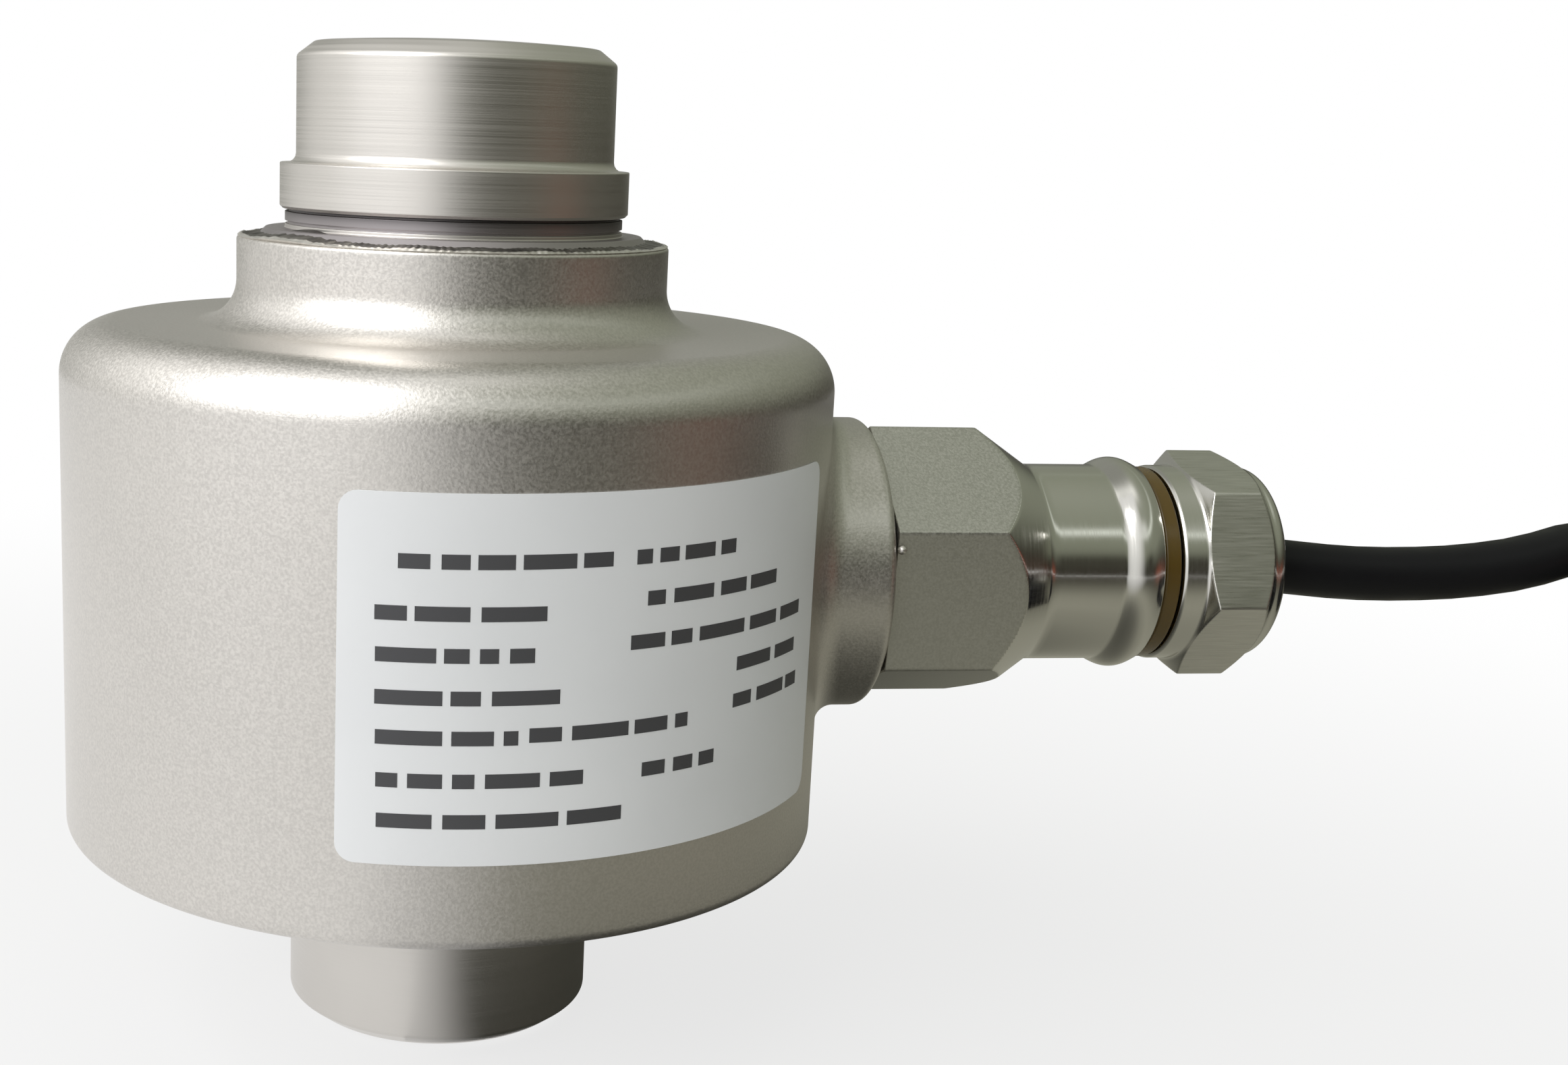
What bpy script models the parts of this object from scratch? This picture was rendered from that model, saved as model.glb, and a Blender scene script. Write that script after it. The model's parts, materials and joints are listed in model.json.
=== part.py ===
"""Canister compression load cell with a cable gland and a coiled cable.

Metres, +Z up the load axis, the cable gland points along +X. The origin is the middle of the lower load face.
"""

import math

import bmesh
import bpy
import numpy as np
from mathutils import Matrix, Vector

MM = 0.001

# Clearances
TOUCH_GAP = 0.3 * MM  # between pieces that rest on or in each other

# Load column, one turned bar
COLUMN_HEIGHT = 104.6 * MM
BUTTON_RADIUS = 16.5 * MM
CROWN_RADIUS = 13.2 * MM  # where the crowned load face meets its chamfer
CROWN_RISE = 0.3 * MM
CENTRE_FLAT_RADIUS = 3.0 * MM
BUTTON_CHAMFER_HEIGHT = 1.2 * MM
BAND_BOTTOM = 87.65 * MM
BAND_HEIGHT = 4.65 * MM
BAND_RADIUS = 18.15 * MM
BAND_CHAMFER = 0.35 * MM
BAND_COVE = 0.9 * MM
COLLAR_RADIUS = 17.6 * MM  # the plain neck between the band and the flange
COLLAR_GROOVE_DEPTH = 0.3 * MM
COLLAR_GROOVE_WIDTH = 0.35 * MM
TOP_FLANGE_TOP = 85.4 * MM
TOP_FLANGE_THICKNESS = 4.6 * MM
TOP_FLANGE_CHAMFER = 1.05 * MM
BASE_FLANGE_RADIUS = 20.0 * MM
BASE_FLANGE_THICKNESS = 3.0 * MM
BOARD_SEAT_HEIGHT = 31.0 * MM
BOARD_SEAT_RADIUS = 16.5 * MM
WAIST_RADIUS = 12.0 * MM
WAIST_BOTTOM = 34.0 * MM
WAIST_TOP = 72.0 * MM
WAIST_COVE = 2.0 * MM
GAUGE_FLATS = 19.2 * MM  # across the four flats that carry the gauges
GAUGE_FLATS_LENGTH = 22.0 * MM
HEAD_RADIUS = 17.0 * MM

# Housing shell, drawn and welded
SHELL_RADIUS = 40.5 * MM
SHELL_WALL = 1.6 * MM
SHELL_BOTTOM = 22.0 * MM
SHELL_TOP = 75.55 * MM
SHOULDER_RADIUS = 5.5 * MM
BOTTOM_EDGE_RADIUS = 1.2 * MM
NECK_RADIUS = 22.55 * MM
NECK_TOP = 84.3 * MM
NECK_FILLET = 4.35 * MM
NECK_EDGE_RADIUS = 0.5 * MM
WIRE_HOLE_RADIUS = 9.0 * MM

# Base plate and its seams
PLATE_RECESS = 1.0 * MM
PLATE_THICKNESS = 3.0 * MM
SEAM_WIDTH = 1.0 * MM
SEAM_HEIGHT = 0.45 * MM

# Label film
LABEL_WIDTH = 55.7 * MM
LABEL_MARGIN = 1.75 * MM  # from its side to the boss's weld
LABEL_BOTTOM = 30.5 * MM
LABEL_HEIGHT = 34.2 * MM
LABEL_CORNER = 1.8 * MM
LABEL_THICKNESS = 0.3 * MM

# Side boss
GLAND_HEIGHT = 49.9 * MM
BOSS_RADIUS = 16.0 * MM
BOSS_REACH = 5.1 * MM  # past the shell's side
BOSS_EDGE_RADIUS = 1.0 * MM
BOSS_WELD_LEG = 2.5 * MM

# Gland body
SPIGOT_RADIUS = 8.0 * MM
SPIGOT_LENGTH = 9.0 * MM
WASHER_THICKNESS = 0.7 * MM
WASHER_RADIUS = 9.8 * MM  # it lies sunk in the boss's end
BODY_FLATS = 27.0 * MM
BODY_TURN_DEG = 23.4  # of a corner, up from the level side that faces -Y
BODY_HEX_LENGTH = 11.9 * MM
BODY_CONE_LENGTH = 6.8 * MM
SLEEVE_RADIUS = 11.0 * MM
SLEEVE_LENGTH = 8.2 * MM
BEAD_RADIUS = 11.9 * MM
BEAD_LENGTH = 4.4 * MM
BEAD_SWEEP_DEG = 160.0
WIRE_BORE_RADIUS = 4.2 * MM
THREAD_RADIUS = 9.5 * MM
THREAD_LENGTH = 8.6 * MM
THREAD_WALL = 1.2 * MM
POCKET_DEPTH = 21.0 * MM  # for the rubber grommet

# Seal ring and cap nut
SEAL_THICKNESS = 1.8 * MM
SEAL_RADIUS = 10.8 * MM
NUT_FLATS = 22.4 * MM
NUT_TURN_DEG = -12.0
NUT_LENGTH = 12.4 * MM
NUT_COLLAR_RADIUS = 11.0 * MM
NUT_COLLAR_LENGTH = 2.7 * MM
NUT_COLLAR_CHAMFER = 0.25 * MM
NUT_CONE_LENGTH = 0.95 * MM
NUT_HEX_LENGTH = 5.35 * MM
NUT_END_RADIUS = 10.9 * MM
NUT_END_EDGE = 1.8 * MM
NUT_END_WALL = 4.0 * MM
NUT_THREAD_GAP = 0.3 * MM

# Cable
CABLE_DIAMETER = 6.3 * MM
CABLE_HELD_LENGTH = 27.0 * MM  # the stretch inside the gland
CABLE_ENTRY_DEPTH = 1.0 * MM  # how far the free cable starts inside the nut's mouth
GROMMET_LENGTH = 19.0 * MM
GROMMET_TAPER = 1.2 * MM
CLAMP_RING_THICKNESS = 1.2 * MM

# Strain gauges, ring board and wires inside
GAUGE_LENGTH = 11.0 * MM
GAUGE_WIDTH = 8.0 * MM
GAUGE_THICKNESS = 0.4 * MM
BOARD_RADIUS = 26.0 * MM
BOARD_THICKNESS = 1.6 * MM
BOARD_BORE_GAP = 0.3 * MM
RESISTOR_LENGTH = 6.0 * MM
RESISTOR_DIAMETER = 2.4 * MM
RESISTOR_PITCH_RADIUS = 20.0 * MM
WIRE_DIAMETER = 1.2 * MM
WIRE_SPACING = 1.9 * MM
WIRE_START_RADIUS = 22.0 * MM
WIRE_BEND = 9.0 * MM
WIRE_BEND_SHARE = 0.33  # of the wire's rise

# Coil of spare cable
COIL_CENTRE_X = 225.0 * MM
COIL_CENTRE_Y = -12.0 * MM
JOIN_DEG = 116.0  # where the cable runs into the coil's lowest outer turn
CREST_DISTANCE = 46.2 * MM  # from the nut, where the cable starts to fall
CREST_HEIGHT = 51.2 * MM
SIDE_BEND_REACH = 12.0 * MM
COIL_MEAN_RADIUS = 37.8 * MM
COIL_COLUMNS = 5
COIL_LAYERS = 4
TURN_GAP = 0.13 * MM  # between neighbouring turns
COIL_CORNER = 2.6 * MM
TIE_WIDTH = 4.0 * MM
TIE_THICKNESS = 1.0 * MM
TIE_CORNER = 2.9 * MM
TIE_ANGLES_DEG = (184.0, 278.0, 372.0)
CABLE_END_DEG = (113.0, 72.0)  # where the jacket's last stretch lies on the coil
CABLE_END_RADIUS = 41.0 * MM
LEAD_DIAMETER = 1.1 * MM
LEAD_END_DEG = 31.0
LEAD_SPREAD = 2.6 * MM

# Facets
TURN_STEPS = 40
SMALL_TURN_STEPS = 32
ARC_STEPS = 5


def clear_scene():
    for old in list(bpy.data.objects):
        bpy.data.objects.remove(old, do_unlink=True)


def finish(name, colour, roughness, metallic):
    """A material with the piece's plain colour, roughness and metallic value."""
    made = bpy.data.materials.new(name)
    made.use_nodes = True
    shader = made.node_tree.nodes["Principled BSDF"]
    shader.inputs["Base Color"].default_value = (*colour, 1.0)
    shader.inputs["Roughness"].default_value = roughness
    shader.inputs["Metallic"].default_value = metallic
    return made


def place(name, mesh, material, smooth_angle=30.0):
    """Links a bmesh to the scene as an object with its faces turned outwards."""
    bmesh.ops.recalc_face_normals(mesh, faces=mesh.faces)
    if mesh.calc_volume(signed=True) < 0:
        bmesh.ops.reverse_faces(mesh, faces=mesh.faces)
    data = bpy.data.meshes.new(name)
    mesh.to_mesh(data)
    mesh.free()
    data.materials.append(material)
    data.shade_smooth()
    data.set_sharp_from_angle(angle=math.radians(smooth_angle))
    made = bpy.data.objects.new(name, data)
    bpy.context.scene.collection.objects.link(made)
    return made


def arc(centre, radius, start_deg, end_deg, steps=ARC_STEPS):
    """Points (radius, height) along an arc in a turned outline."""
    angles = [math.radians(start_deg + (end_deg - start_deg) * i / steps) for i in range(steps + 1)]
    return [(centre[0] + radius * math.cos(a), centre[1] + radius * math.sin(a)) for a in angles]


def ring_outline(inner, outer, bottom, top):
    """A plain ring's outline. With an inner radius of 0 it is a solid disc."""
    return [(inner, bottom), (outer, bottom), (outer, top), (inner, top)]


def along_x(height):
    """Turns a shape built round +Z to lie along +X at a height."""
    return Matrix.Translation((0, 0, height)) @ Matrix.Rotation(math.radians(90), 4, "Y")


def turned_mesh(outline, steps):
    """Spins an outline of (radius, height) points, a loop or from axis to axis, round Z."""
    mesh = bmesh.new()
    points = [mesh.verts.new((radius, 0, height)) for radius, height in outline]
    on_axis = outline[0][0] == 0 and outline[-1][0] == 0
    ends = points if on_axis else points + points[:1]
    edges = [mesh.edges.new(pair) for pair in zip(ends[:-1], ends[1:])]
    bmesh.ops.spin(
        mesh,
        geom=points + edges,
        cent=(0, 0, 0),
        axis=(0, 0, 1),
        angle=math.radians(360),
        steps=steps,
        use_merge=True,
    )
    bmesh.ops.remove_doubles(mesh, verts=mesh.verts, dist=0.001 * MM)
    return mesh


def turned(name, outline, material, steps=TURN_STEPS, matrix=None):
    mesh = turned_mesh(outline, steps)
    if matrix is not None:
        mesh.transform(matrix)
    return place(name, mesh, material)


def cutter(name, mesh):
    """A hidden body for a Boolean."""
    made = place(name, mesh, bpy.data.materials["steel_turned"])
    made.hide_render = True
    made.display_type = "WIRE"
    return made


def cut(piece, tool, operation="DIFFERENCE"):
    modifier = piece.modifiers.new("cut " + tool.name, "BOOLEAN")
    modifier.operation = operation
    modifier.solver = "EXACT"
    modifier.object = tool


def prism_frame(sides, flats, outer_radius, bottom, top, turn_deg):
    """A block with a prism shaped hole. It cuts a round blank to that prism's flats."""
    mesh = bmesh.new()
    corner = flats / 2 / math.cos(math.pi / sides)
    rings = []
    for radius, height in ((corner, bottom), (corner, top), (outer_radius, top), (outer_radius, bottom)):
        angles = [math.radians(turn_deg) + 2 * math.pi * i / sides for i in range(sides)]
        rings.append([mesh.verts.new((radius * math.cos(a), radius * math.sin(a), height)) for a in angles])
    for ring, following in zip(rings, rings[1:] + rings[:1]):
        for i in range(sides):
            j = (i + 1) % sides
            mesh.faces.new((ring[i], ring[j], following[j], following[i]))
    return mesh


def crowned_end(end, inward):
    """Outline points of a crowned load face from its centre to the button's side. inward is 1 or -1."""
    sphere = (CROWN_RADIUS**2 - CENTRE_FLAT_RADIUS**2) / (2 * CROWN_RISE)
    points = [(0, end), (CENTRE_FLAT_RADIUS, end)]
    for share in (0.6, 1.0):
        radius = CENTRE_FLAT_RADIUS + (CROWN_RADIUS - CENTRE_FLAT_RADIUS) * share
        points.append((radius, end + inward * (radius**2 - CENTRE_FLAT_RADIUS**2) / (2 * sphere)))
    points.append((BUTTON_RADIUS, end + inward * (CROWN_RISE + BUTTON_CHAMFER_HEIGHT)))
    return points


def top_flange_radius():
    """The column's upper flange fits the inside of the shell's neck."""
    return NECK_RADIUS - SHELL_WALL - TOUCH_GAP


def make_load_column(material):
    band_top = BAND_BOTTOM + BAND_HEIGHT
    base_flange_bottom = SHELL_BOTTOM + PLATE_RECESS
    base_flange_top = base_flange_bottom + BASE_FLANGE_THICKNESS
    flange_radius = top_flange_radius()
    flange_bottom = TOP_FLANGE_TOP - TOP_FLANGE_THICKNESS
    groove_bottom = TOP_FLANGE_TOP + COLLAR_GROOVE_WIDTH
    groove_radius = COLLAR_RADIUS - COLLAR_GROOVE_DEPTH
    cove_centre = (BUTTON_RADIUS + BAND_COVE, band_top + BAND_COVE)
    lower_cove = (WAIST_RADIUS + WAIST_COVE, WAIST_BOTTOM + WAIST_COVE)
    upper_cove = (WAIST_RADIUS + WAIST_COVE, WAIST_TOP - WAIST_COVE)
    outline = crowned_end(0, 1)
    outline += [
        (BUTTON_RADIUS, base_flange_bottom),
        (BASE_FLANGE_RADIUS, base_flange_bottom),
        (BASE_FLANGE_RADIUS, base_flange_top),
        (BOARD_SEAT_RADIUS, base_flange_top),
        (BOARD_SEAT_RADIUS, BOARD_SEAT_HEIGHT),
        (WAIST_RADIUS + WAIST_COVE, BOARD_SEAT_HEIGHT),
        (WAIST_RADIUS + WAIST_COVE, WAIST_BOTTOM),
    ]
    outline += arc(lower_cove, WAIST_COVE, 270, 180, 3)
    outline += arc(upper_cove, WAIST_COVE, 180, 90, 3)
    outline += [
        (HEAD_RADIUS, WAIST_TOP),
        (HEAD_RADIUS, flange_bottom),
        (flange_radius, flange_bottom),
        (flange_radius, TOP_FLANGE_TOP - TOP_FLANGE_CHAMFER),
        (flange_radius - TOP_FLANGE_CHAMFER, TOP_FLANGE_TOP),
        (groove_radius, TOP_FLANGE_TOP),
        (groove_radius, groove_bottom),
        (COLLAR_RADIUS, groove_bottom),
        (COLLAR_RADIUS, BAND_BOTTOM),
        (BAND_RADIUS - BAND_CHAMFER, BAND_BOTTOM),
        (BAND_RADIUS, BAND_BOTTOM + BAND_CHAMFER),
        (BAND_RADIUS, band_top),
    ]
    outline += arc(cove_centre, BAND_COVE, 270, 180, 4)
    outline += reversed(crowned_end(COLUMN_HEIGHT, -1))
    column = turned("load_column", outline, material)
    middle = (WAIST_BOTTOM + WAIST_TOP) / 2
    flats = prism_frame(
        4,
        GAUGE_FLATS,
        2 * WAIST_RADIUS,
        middle - GAUGE_FLATS_LENGTH / 2,
        middle + GAUGE_FLATS_LENGTH / 2,
        45,
    )
    cut(column, cutter("gauge_flats_cutter", flats))
    return column


def shell_outline():
    inner_radius = SHELL_RADIUS - SHELL_WALL
    neck_inner = NECK_RADIUS - SHELL_WALL
    inner_fillet = NECK_FILLET + SHELL_WALL
    fillet_centre = (NECK_RADIUS + NECK_FILLET, SHELL_TOP + NECK_FILLET)
    shoulder_centre = (SHELL_RADIUS - SHOULDER_RADIUS, SHELL_TOP - SHOULDER_RADIUS)
    edge_centre = (SHELL_RADIUS - BOTTOM_EDGE_RADIUS, SHELL_BOTTOM + BOTTOM_EDGE_RADIUS)
    lip_centre = (NECK_RADIUS - NECK_EDGE_RADIUS, NECK_TOP - NECK_EDGE_RADIUS)
    outline = arc(lip_centre, NECK_EDGE_RADIUS, 90, 0, 2)
    outline += arc(fillet_centre, NECK_FILLET, 180, 270, 6)
    outline += arc(shoulder_centre, SHOULDER_RADIUS, 90, 0, 7)
    outline += arc(edge_centre, BOTTOM_EDGE_RADIUS, 0, -90, 3)
    outline += [(inner_radius, SHELL_BOTTOM)]
    outline += arc(shoulder_centre, SHOULDER_RADIUS - SHELL_WALL, 0, 90, 4)
    outline += arc(fillet_centre, inner_fillet, 270, 180, 4)
    outline += [(neck_inner, NECK_TOP)]
    return outline


def make_housing_shell(material):
    shell = turned("housing_shell", shell_outline(), material)
    reach = SHELL_RADIUS + BOSS_RADIUS
    start = SHELL_RADIUS / 2
    hole = turned_mesh(ring_outline(0, WIRE_HOLE_RADIUS, start, reach), SMALL_TURN_STEPS)
    hole.transform(along_x(GLAND_HEIGHT))
    cut(shell, cutter("wire_hole_cutter", hole))
    return shell


def make_neck_weld(material):
    """The bead that closes the gap between the column's flange and the shell's neck."""
    inner = top_flange_radius() - TOP_FLANGE_CHAMFER + 2 * TOUCH_GAP
    outer = NECK_RADIUS - NECK_EDGE_RADIUS
    seat = NECK_TOP + TOUCH_GAP
    outline = [
        (inner, TOP_FLANGE_TOP),
        (inner + TOUCH_GAP, TOP_FLANGE_TOP + TOUCH_GAP / 2),
        ((inner + outer) / 2, NECK_TOP + 3 * TOUCH_GAP),
        (outer, NECK_TOP + 2 * TOUCH_GAP),
        (outer, seat),
        (top_flange_radius() + TOUCH_GAP / 2, seat),
    ]
    return turned("neck_weld", outline, material)


def make_base(plate_material, seam_material):
    """The plate that closes the shell's bottom, and the seams at its outer and inner edges."""
    bottom = SHELL_BOTTOM + PLATE_RECESS
    top = bottom + PLATE_THICKNESS
    outer = SHELL_RADIUS - SHELL_WALL - TOUCH_GAP
    inner = BASE_FLANGE_RADIUS + TOUCH_GAP
    turned("base_plate", ring_outline(inner, outer, bottom, top), plate_material)
    seat = bottom - TOUCH_GAP
    corner = [
        (outer, seat),
        (outer, seat - SEAM_HEIGHT),
        (outer - SEAM_WIDTH / 2, seat - SEAM_HEIGHT * 0.75),
        (outer - SEAM_WIDTH, seat),
    ]
    turned("base_outer_seam", corner, seam_material)
    middle = (inner + BASE_FLANGE_RADIUS) / 2
    bead = [
        (middle - SEAM_WIDTH / 2, seat),
        (middle + SEAM_WIDTH / 2, seat),
        (middle + SEAM_WIDTH / 4, seat - SEAM_HEIGHT),
        (middle - SEAM_WIDTH / 4, seat - SEAM_HEIGHT),
    ]
    turned("base_inner_seam", bead, seam_material)


def make_label(material):
    """A thin film with round corners, bent round the housing."""
    inner = SHELL_RADIUS + TOUCH_GAP
    outer = inner + LABEL_THICKNESS
    half = LABEL_WIDTH / 2
    weld_side = math.asin((BOSS_RADIUS + TOUCH_GAP + BOSS_WELD_LEG) / SHELL_RADIUS)
    middle = -weld_side - (LABEL_MARGIN + half) / SHELL_RADIUS
    stations = []
    for i in range(5):
        turn = math.radians(90 * i / 4)
        inset = LABEL_CORNER * (1 - math.sin(turn))
        stations.append((-half + LABEL_CORNER * (1 - math.cos(turn)), inset))
    plain = 22
    span = 2 * (half - LABEL_CORNER)
    stations += [(-half + LABEL_CORNER + span * i / plain, 0) for i in range(1, plain)]
    stations += [(-across, inset) for across, inset in reversed(stations[:5])]
    mesh = bmesh.new()
    columns = []
    for across, inset in stations:
        angle = middle + across / SHELL_RADIUS
        low, high = LABEL_BOTTOM + inset, LABEL_BOTTOM + LABEL_HEIGHT - inset
        column = []
        for radius, height in ((inner, low), (inner, high), (outer, high), (outer, low)):
            column.append(mesh.verts.new((radius * math.cos(angle), radius * math.sin(angle), height)))
        columns.append(column)
    for column, following in zip(columns, columns[1:]):
        for i in range(4):
            j = (i + 1) % 4
            mesh.faces.new((column[i], column[j], following[j], following[i]))
    mesh.faces.new(columns[0])
    mesh.faces.new(reversed(columns[-1]))
    return place("label_film", mesh, material)


def shell_side(across):
    """How far the shell's outer side lies from the load axis, at a distance across the gland's axis."""
    return math.sqrt(SHELL_RADIUS**2 - across**2)


def make_side_boss(material, weld_material):
    """The round boss that takes the gland, saddled to the shell, and the fillet weld round it."""
    bore = SPIGOT_RADIUS + TOUCH_GAP
    start = SHELL_RADIUS / 2
    end = SHELL_RADIUS + BOSS_REACH
    edge = (BOSS_RADIUS - BOSS_EDGE_RADIUS, end - BOSS_EDGE_RADIUS)
    outline = [(bore, start), (BOSS_RADIUS, start)]
    outline += arc(edge, BOSS_EDGE_RADIUS, 0, 90, 5)
    recess = WASHER_RADIUS + TOUCH_GAP
    recess_floor = end - WASHER_THICKNESS - TOUCH_GAP
    outline += [(recess, end), (recess, recess_floor), (bore, recess_floor)]
    boss = turned("side_boss", outline, material, SMALL_TURN_STEPS, along_x(GLAND_HEIGHT))
    seat = SHELL_RADIUS + TOUCH_GAP
    above = SHELL_TOP + BOSS_RADIUS
    saddle = turned_mesh(ring_outline(0, seat, 0, above), 2 * TURN_STEPS)
    cut(boss, cutter("saddle_cutter", saddle))

    mesh = bmesh.new()
    inner = BOSS_RADIUS + TOUCH_GAP
    rings = []
    for i in range(SMALL_TURN_STEPS):
        angle = 2 * math.pi * i / SMALL_TURN_STEPS
        ring = []
        for turn in (0, 30, 60, 90):
            radius = inner + BOSS_WELD_LEG * (1 - math.sin(math.radians(turn)))
            rise = TOUCH_GAP * 1.5 + BOSS_WELD_LEG * (1 - math.cos(math.radians(turn)))
            across, up = radius * math.cos(angle), radius * math.sin(angle)
            ring.append((shell_side(across) + rise, across, GLAND_HEIGHT + up))
        across, up = inner * math.cos(angle), inner * math.sin(angle)
        ring.append((shell_side(across) + TOUCH_GAP, across, GLAND_HEIGHT + up))
        rings.append([mesh.verts.new(point) for point in ring])
    for ring, following in zip(rings, rings[1:] + rings[:1]):
        for j in range(5):
            k = (j + 1) % 5
            mesh.faces.new((ring[j], ring[k], following[k], following[j]))
    place("boss_weld", mesh, weld_material)
    return boss


def gland_stations():
    """Where the gland's features start along +X, all from the boss's end."""
    boss_end = SHELL_RADIUS + BOSS_REACH
    washer = boss_end - WASHER_THICKNESS
    body = boss_end + TOUCH_GAP
    cone = body + BODY_HEX_LENGTH
    sleeve = cone + BODY_CONE_LENGTH
    bead = sleeve + SLEEVE_LENGTH
    face = bead + BEAD_LENGTH
    nut = face + 2 * TOUCH_GAP + SEAL_THICKNESS
    return {
        "washer": washer,
        "body": body,
        "cone": cone,
        "sleeve": sleeve,
        "bead": bead,
        "face": face,
        "nut": nut,
        "end": nut + NUT_LENGTH,
        "thread_end": face + THREAD_LENGTH,
        "pocket": face + THREAD_LENGTH - POCKET_DEPTH,
    }


def hex_corner(flats):
    return flats / 2 / math.cos(math.pi / 6)


def side_angle(degrees):
    """A corner's angle up from the side facing -Y, as an angle in the shape before it lies along +X."""
    return degrees - 90


def make_gland_body(material):
    at = gland_stations()
    corner = hex_corner(BODY_FLATS)
    pocket_radius = THREAD_RADIUS - THREAD_WALL
    swell = BEAD_RADIUS - SLEEVE_RADIUS
    outline = [
        (WIRE_BORE_RADIUS, at["body"] - SPIGOT_LENGTH),
        (SPIGOT_RADIUS, at["body"] - SPIGOT_LENGTH),
        (SPIGOT_RADIUS, at["body"]),
        (corner, at["body"]),
        (corner, at["cone"]),
        (SLEEVE_RADIUS + 0.35 * MM, at["sleeve"] - 0.55 * MM),
        (SLEEVE_RADIUS, at["sleeve"]),
        (SLEEVE_RADIUS, at["bead"]),
    ]
    for i in range(1, 9):
        lift = swell * math.sin(math.radians(BEAD_SWEEP_DEG) * i / 8) ** 0.8
        outline.append((SLEEVE_RADIUS + lift, at["bead"] + BEAD_LENGTH * i / 8))
    outline += [
        (THREAD_RADIUS, at["face"]),
        (THREAD_RADIUS, at["thread_end"]),
        (pocket_radius, at["thread_end"]),
        (pocket_radius, at["pocket"]),
        (WIRE_BORE_RADIUS, at["pocket"]),
    ]
    body = turned("gland_body", outline, material, SMALL_TURN_STEPS, along_x(GLAND_HEIGHT))
    frame = prism_frame(
        6,
        BODY_FLATS,
        2 * corner,
        at["body"] - SPIGOT_LENGTH / 2,
        at["sleeve"] + SLEEVE_LENGTH / 2,
        side_angle(BODY_TURN_DEG),
    )
    frame.transform(along_x(GLAND_HEIGHT))
    cut(body, cutter("body_flats_cutter", frame))
    return body


def make_gland_nut(material):
    at = gland_stations()
    corner = hex_corner(NUT_FLATS)
    start, end = at["nut"], at["end"]
    bore = THREAD_RADIUS + NUT_THREAD_GAP
    mouth = CABLE_DIAMETER / 2 + TOUCH_GAP + 0.1 * MM
    hex_start = start + NUT_COLLAR_LENGTH + NUT_CONE_LENGTH
    edge = (NUT_END_RADIUS - NUT_END_EDGE, end - NUT_END_EDGE)
    outline = [
        (bore, end - NUT_END_WALL),
        (bore, start),
        (NUT_COLLAR_RADIUS - NUT_COLLAR_CHAMFER, start),
        (NUT_COLLAR_RADIUS, start + NUT_COLLAR_CHAMFER),
        (NUT_COLLAR_RADIUS, start + NUT_COLLAR_LENGTH),
        (corner, hex_start),
        (corner, hex_start + NUT_HEX_LENGTH),
    ]
    outline += arc(edge, NUT_END_EDGE, 0, 90, 4)
    outline += [
        (mouth + 0.5 * MM, end),
        (mouth, end - 0.5 * MM),
        (mouth, end - NUT_END_WALL),
    ]
    nut = turned("gland_nut", outline, material, SMALL_TURN_STEPS, along_x(GLAND_HEIGHT))
    frame = prism_frame(
        6,
        NUT_FLATS,
        2 * corner,
        start - NUT_COLLAR_LENGTH,
        end + NUT_COLLAR_LENGTH,
        side_angle(NUT_TURN_DEG),
    )
    frame.transform(along_x(GLAND_HEIGHT))
    cut(nut, cutter("nut_flats_cutter", frame))
    return nut


def make_gland_inside(rubber, amber, steel, jacket):
    """The washer, the seal ring, the grommet, its clamp ring and the cable's held stretch."""
    at = gland_stations()
    lie = along_x(GLAND_HEIGHT)
    spigot = SPIGOT_RADIUS + TOUCH_GAP
    washer_end = at["washer"] + WASHER_THICKNESS
    washer = ring_outline(spigot, WASHER_RADIUS, at["washer"], washer_end)
    turned("gland_washer", washer, rubber, SMALL_TURN_STEPS, lie)

    seal_start = at["face"] + TOUCH_GAP
    seal_end = seal_start + SEAL_THICKNESS
    seal_bore = THREAD_RADIUS + TOUCH_GAP
    seal = ring_outline(seal_bore, SEAL_RADIUS, seal_start, seal_end)
    turned("seal_ring", seal, amber, SMALL_TURN_STEPS, lie)

    cable_radius = CABLE_DIAMETER / 2
    grip = cable_radius + TOUCH_GAP
    pocket = THREAD_RADIUS - THREAD_WALL - TOUCH_GAP
    grommet_start = at["pocket"] + TOUCH_GAP
    grommet_end = grommet_start + GROMMET_LENGTH
    grommet = [
        (grip, grommet_start),
        (pocket - GROMMET_TAPER, grommet_start),
        (pocket, grommet_start + 2 * GROMMET_TAPER),
        (pocket, grommet_end),
        (grip, grommet_end),
    ]
    turned("cable_grommet", grommet, rubber, 32, lie)

    ring_start = grommet_end + TOUCH_GAP
    wall_face = at["end"] - NUT_END_WALL
    ring_end = wall_face - TOUCH_GAP
    ring = [
        (grip, ring_start),
        (pocket, ring_start),
        (pocket, ring_start + CLAMP_RING_THICKNESS),
        (pocket - CLAMP_RING_THICKNESS, ring_end),
        (grip, ring_end),
    ]
    turned("clamp_ring", ring, steel, 32, lie)

    held_end = at["end"] - CABLE_ENTRY_DEPTH - TOUCH_GAP
    held_start = held_end - CABLE_HELD_LENGTH
    held = ring_outline(0, cable_radius, held_start, held_end)
    turned("cable_in_gland", held, jacket, 24, lie)
    return held_start


def box_mesh(size, centre):
    mesh = bmesh.new()
    bmesh.ops.create_cube(mesh, size=1)
    bmesh.ops.scale(mesh, vec=size, verts=mesh.verts)
    bmesh.ops.translate(mesh, vec=centre, verts=mesh.verts)
    return mesh


def make_gauges(material):
    """One foil gauge on each flat of the column's waist."""
    middle = (WAIST_BOTTOM + WAIST_TOP) / 2
    distance = GAUGE_FLATS / 2 + TOUCH_GAP + GAUGE_THICKNESS / 2
    for i in range(4):
        mesh = box_mesh((GAUGE_THICKNESS, GAUGE_WIDTH, GAUGE_LENGTH), (distance, 0, middle))
        mesh.transform(Matrix.Rotation(math.radians(90 * i), 4, "Z"))
        place(f"strain_gauge_{i + 1}", mesh, material)


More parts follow.
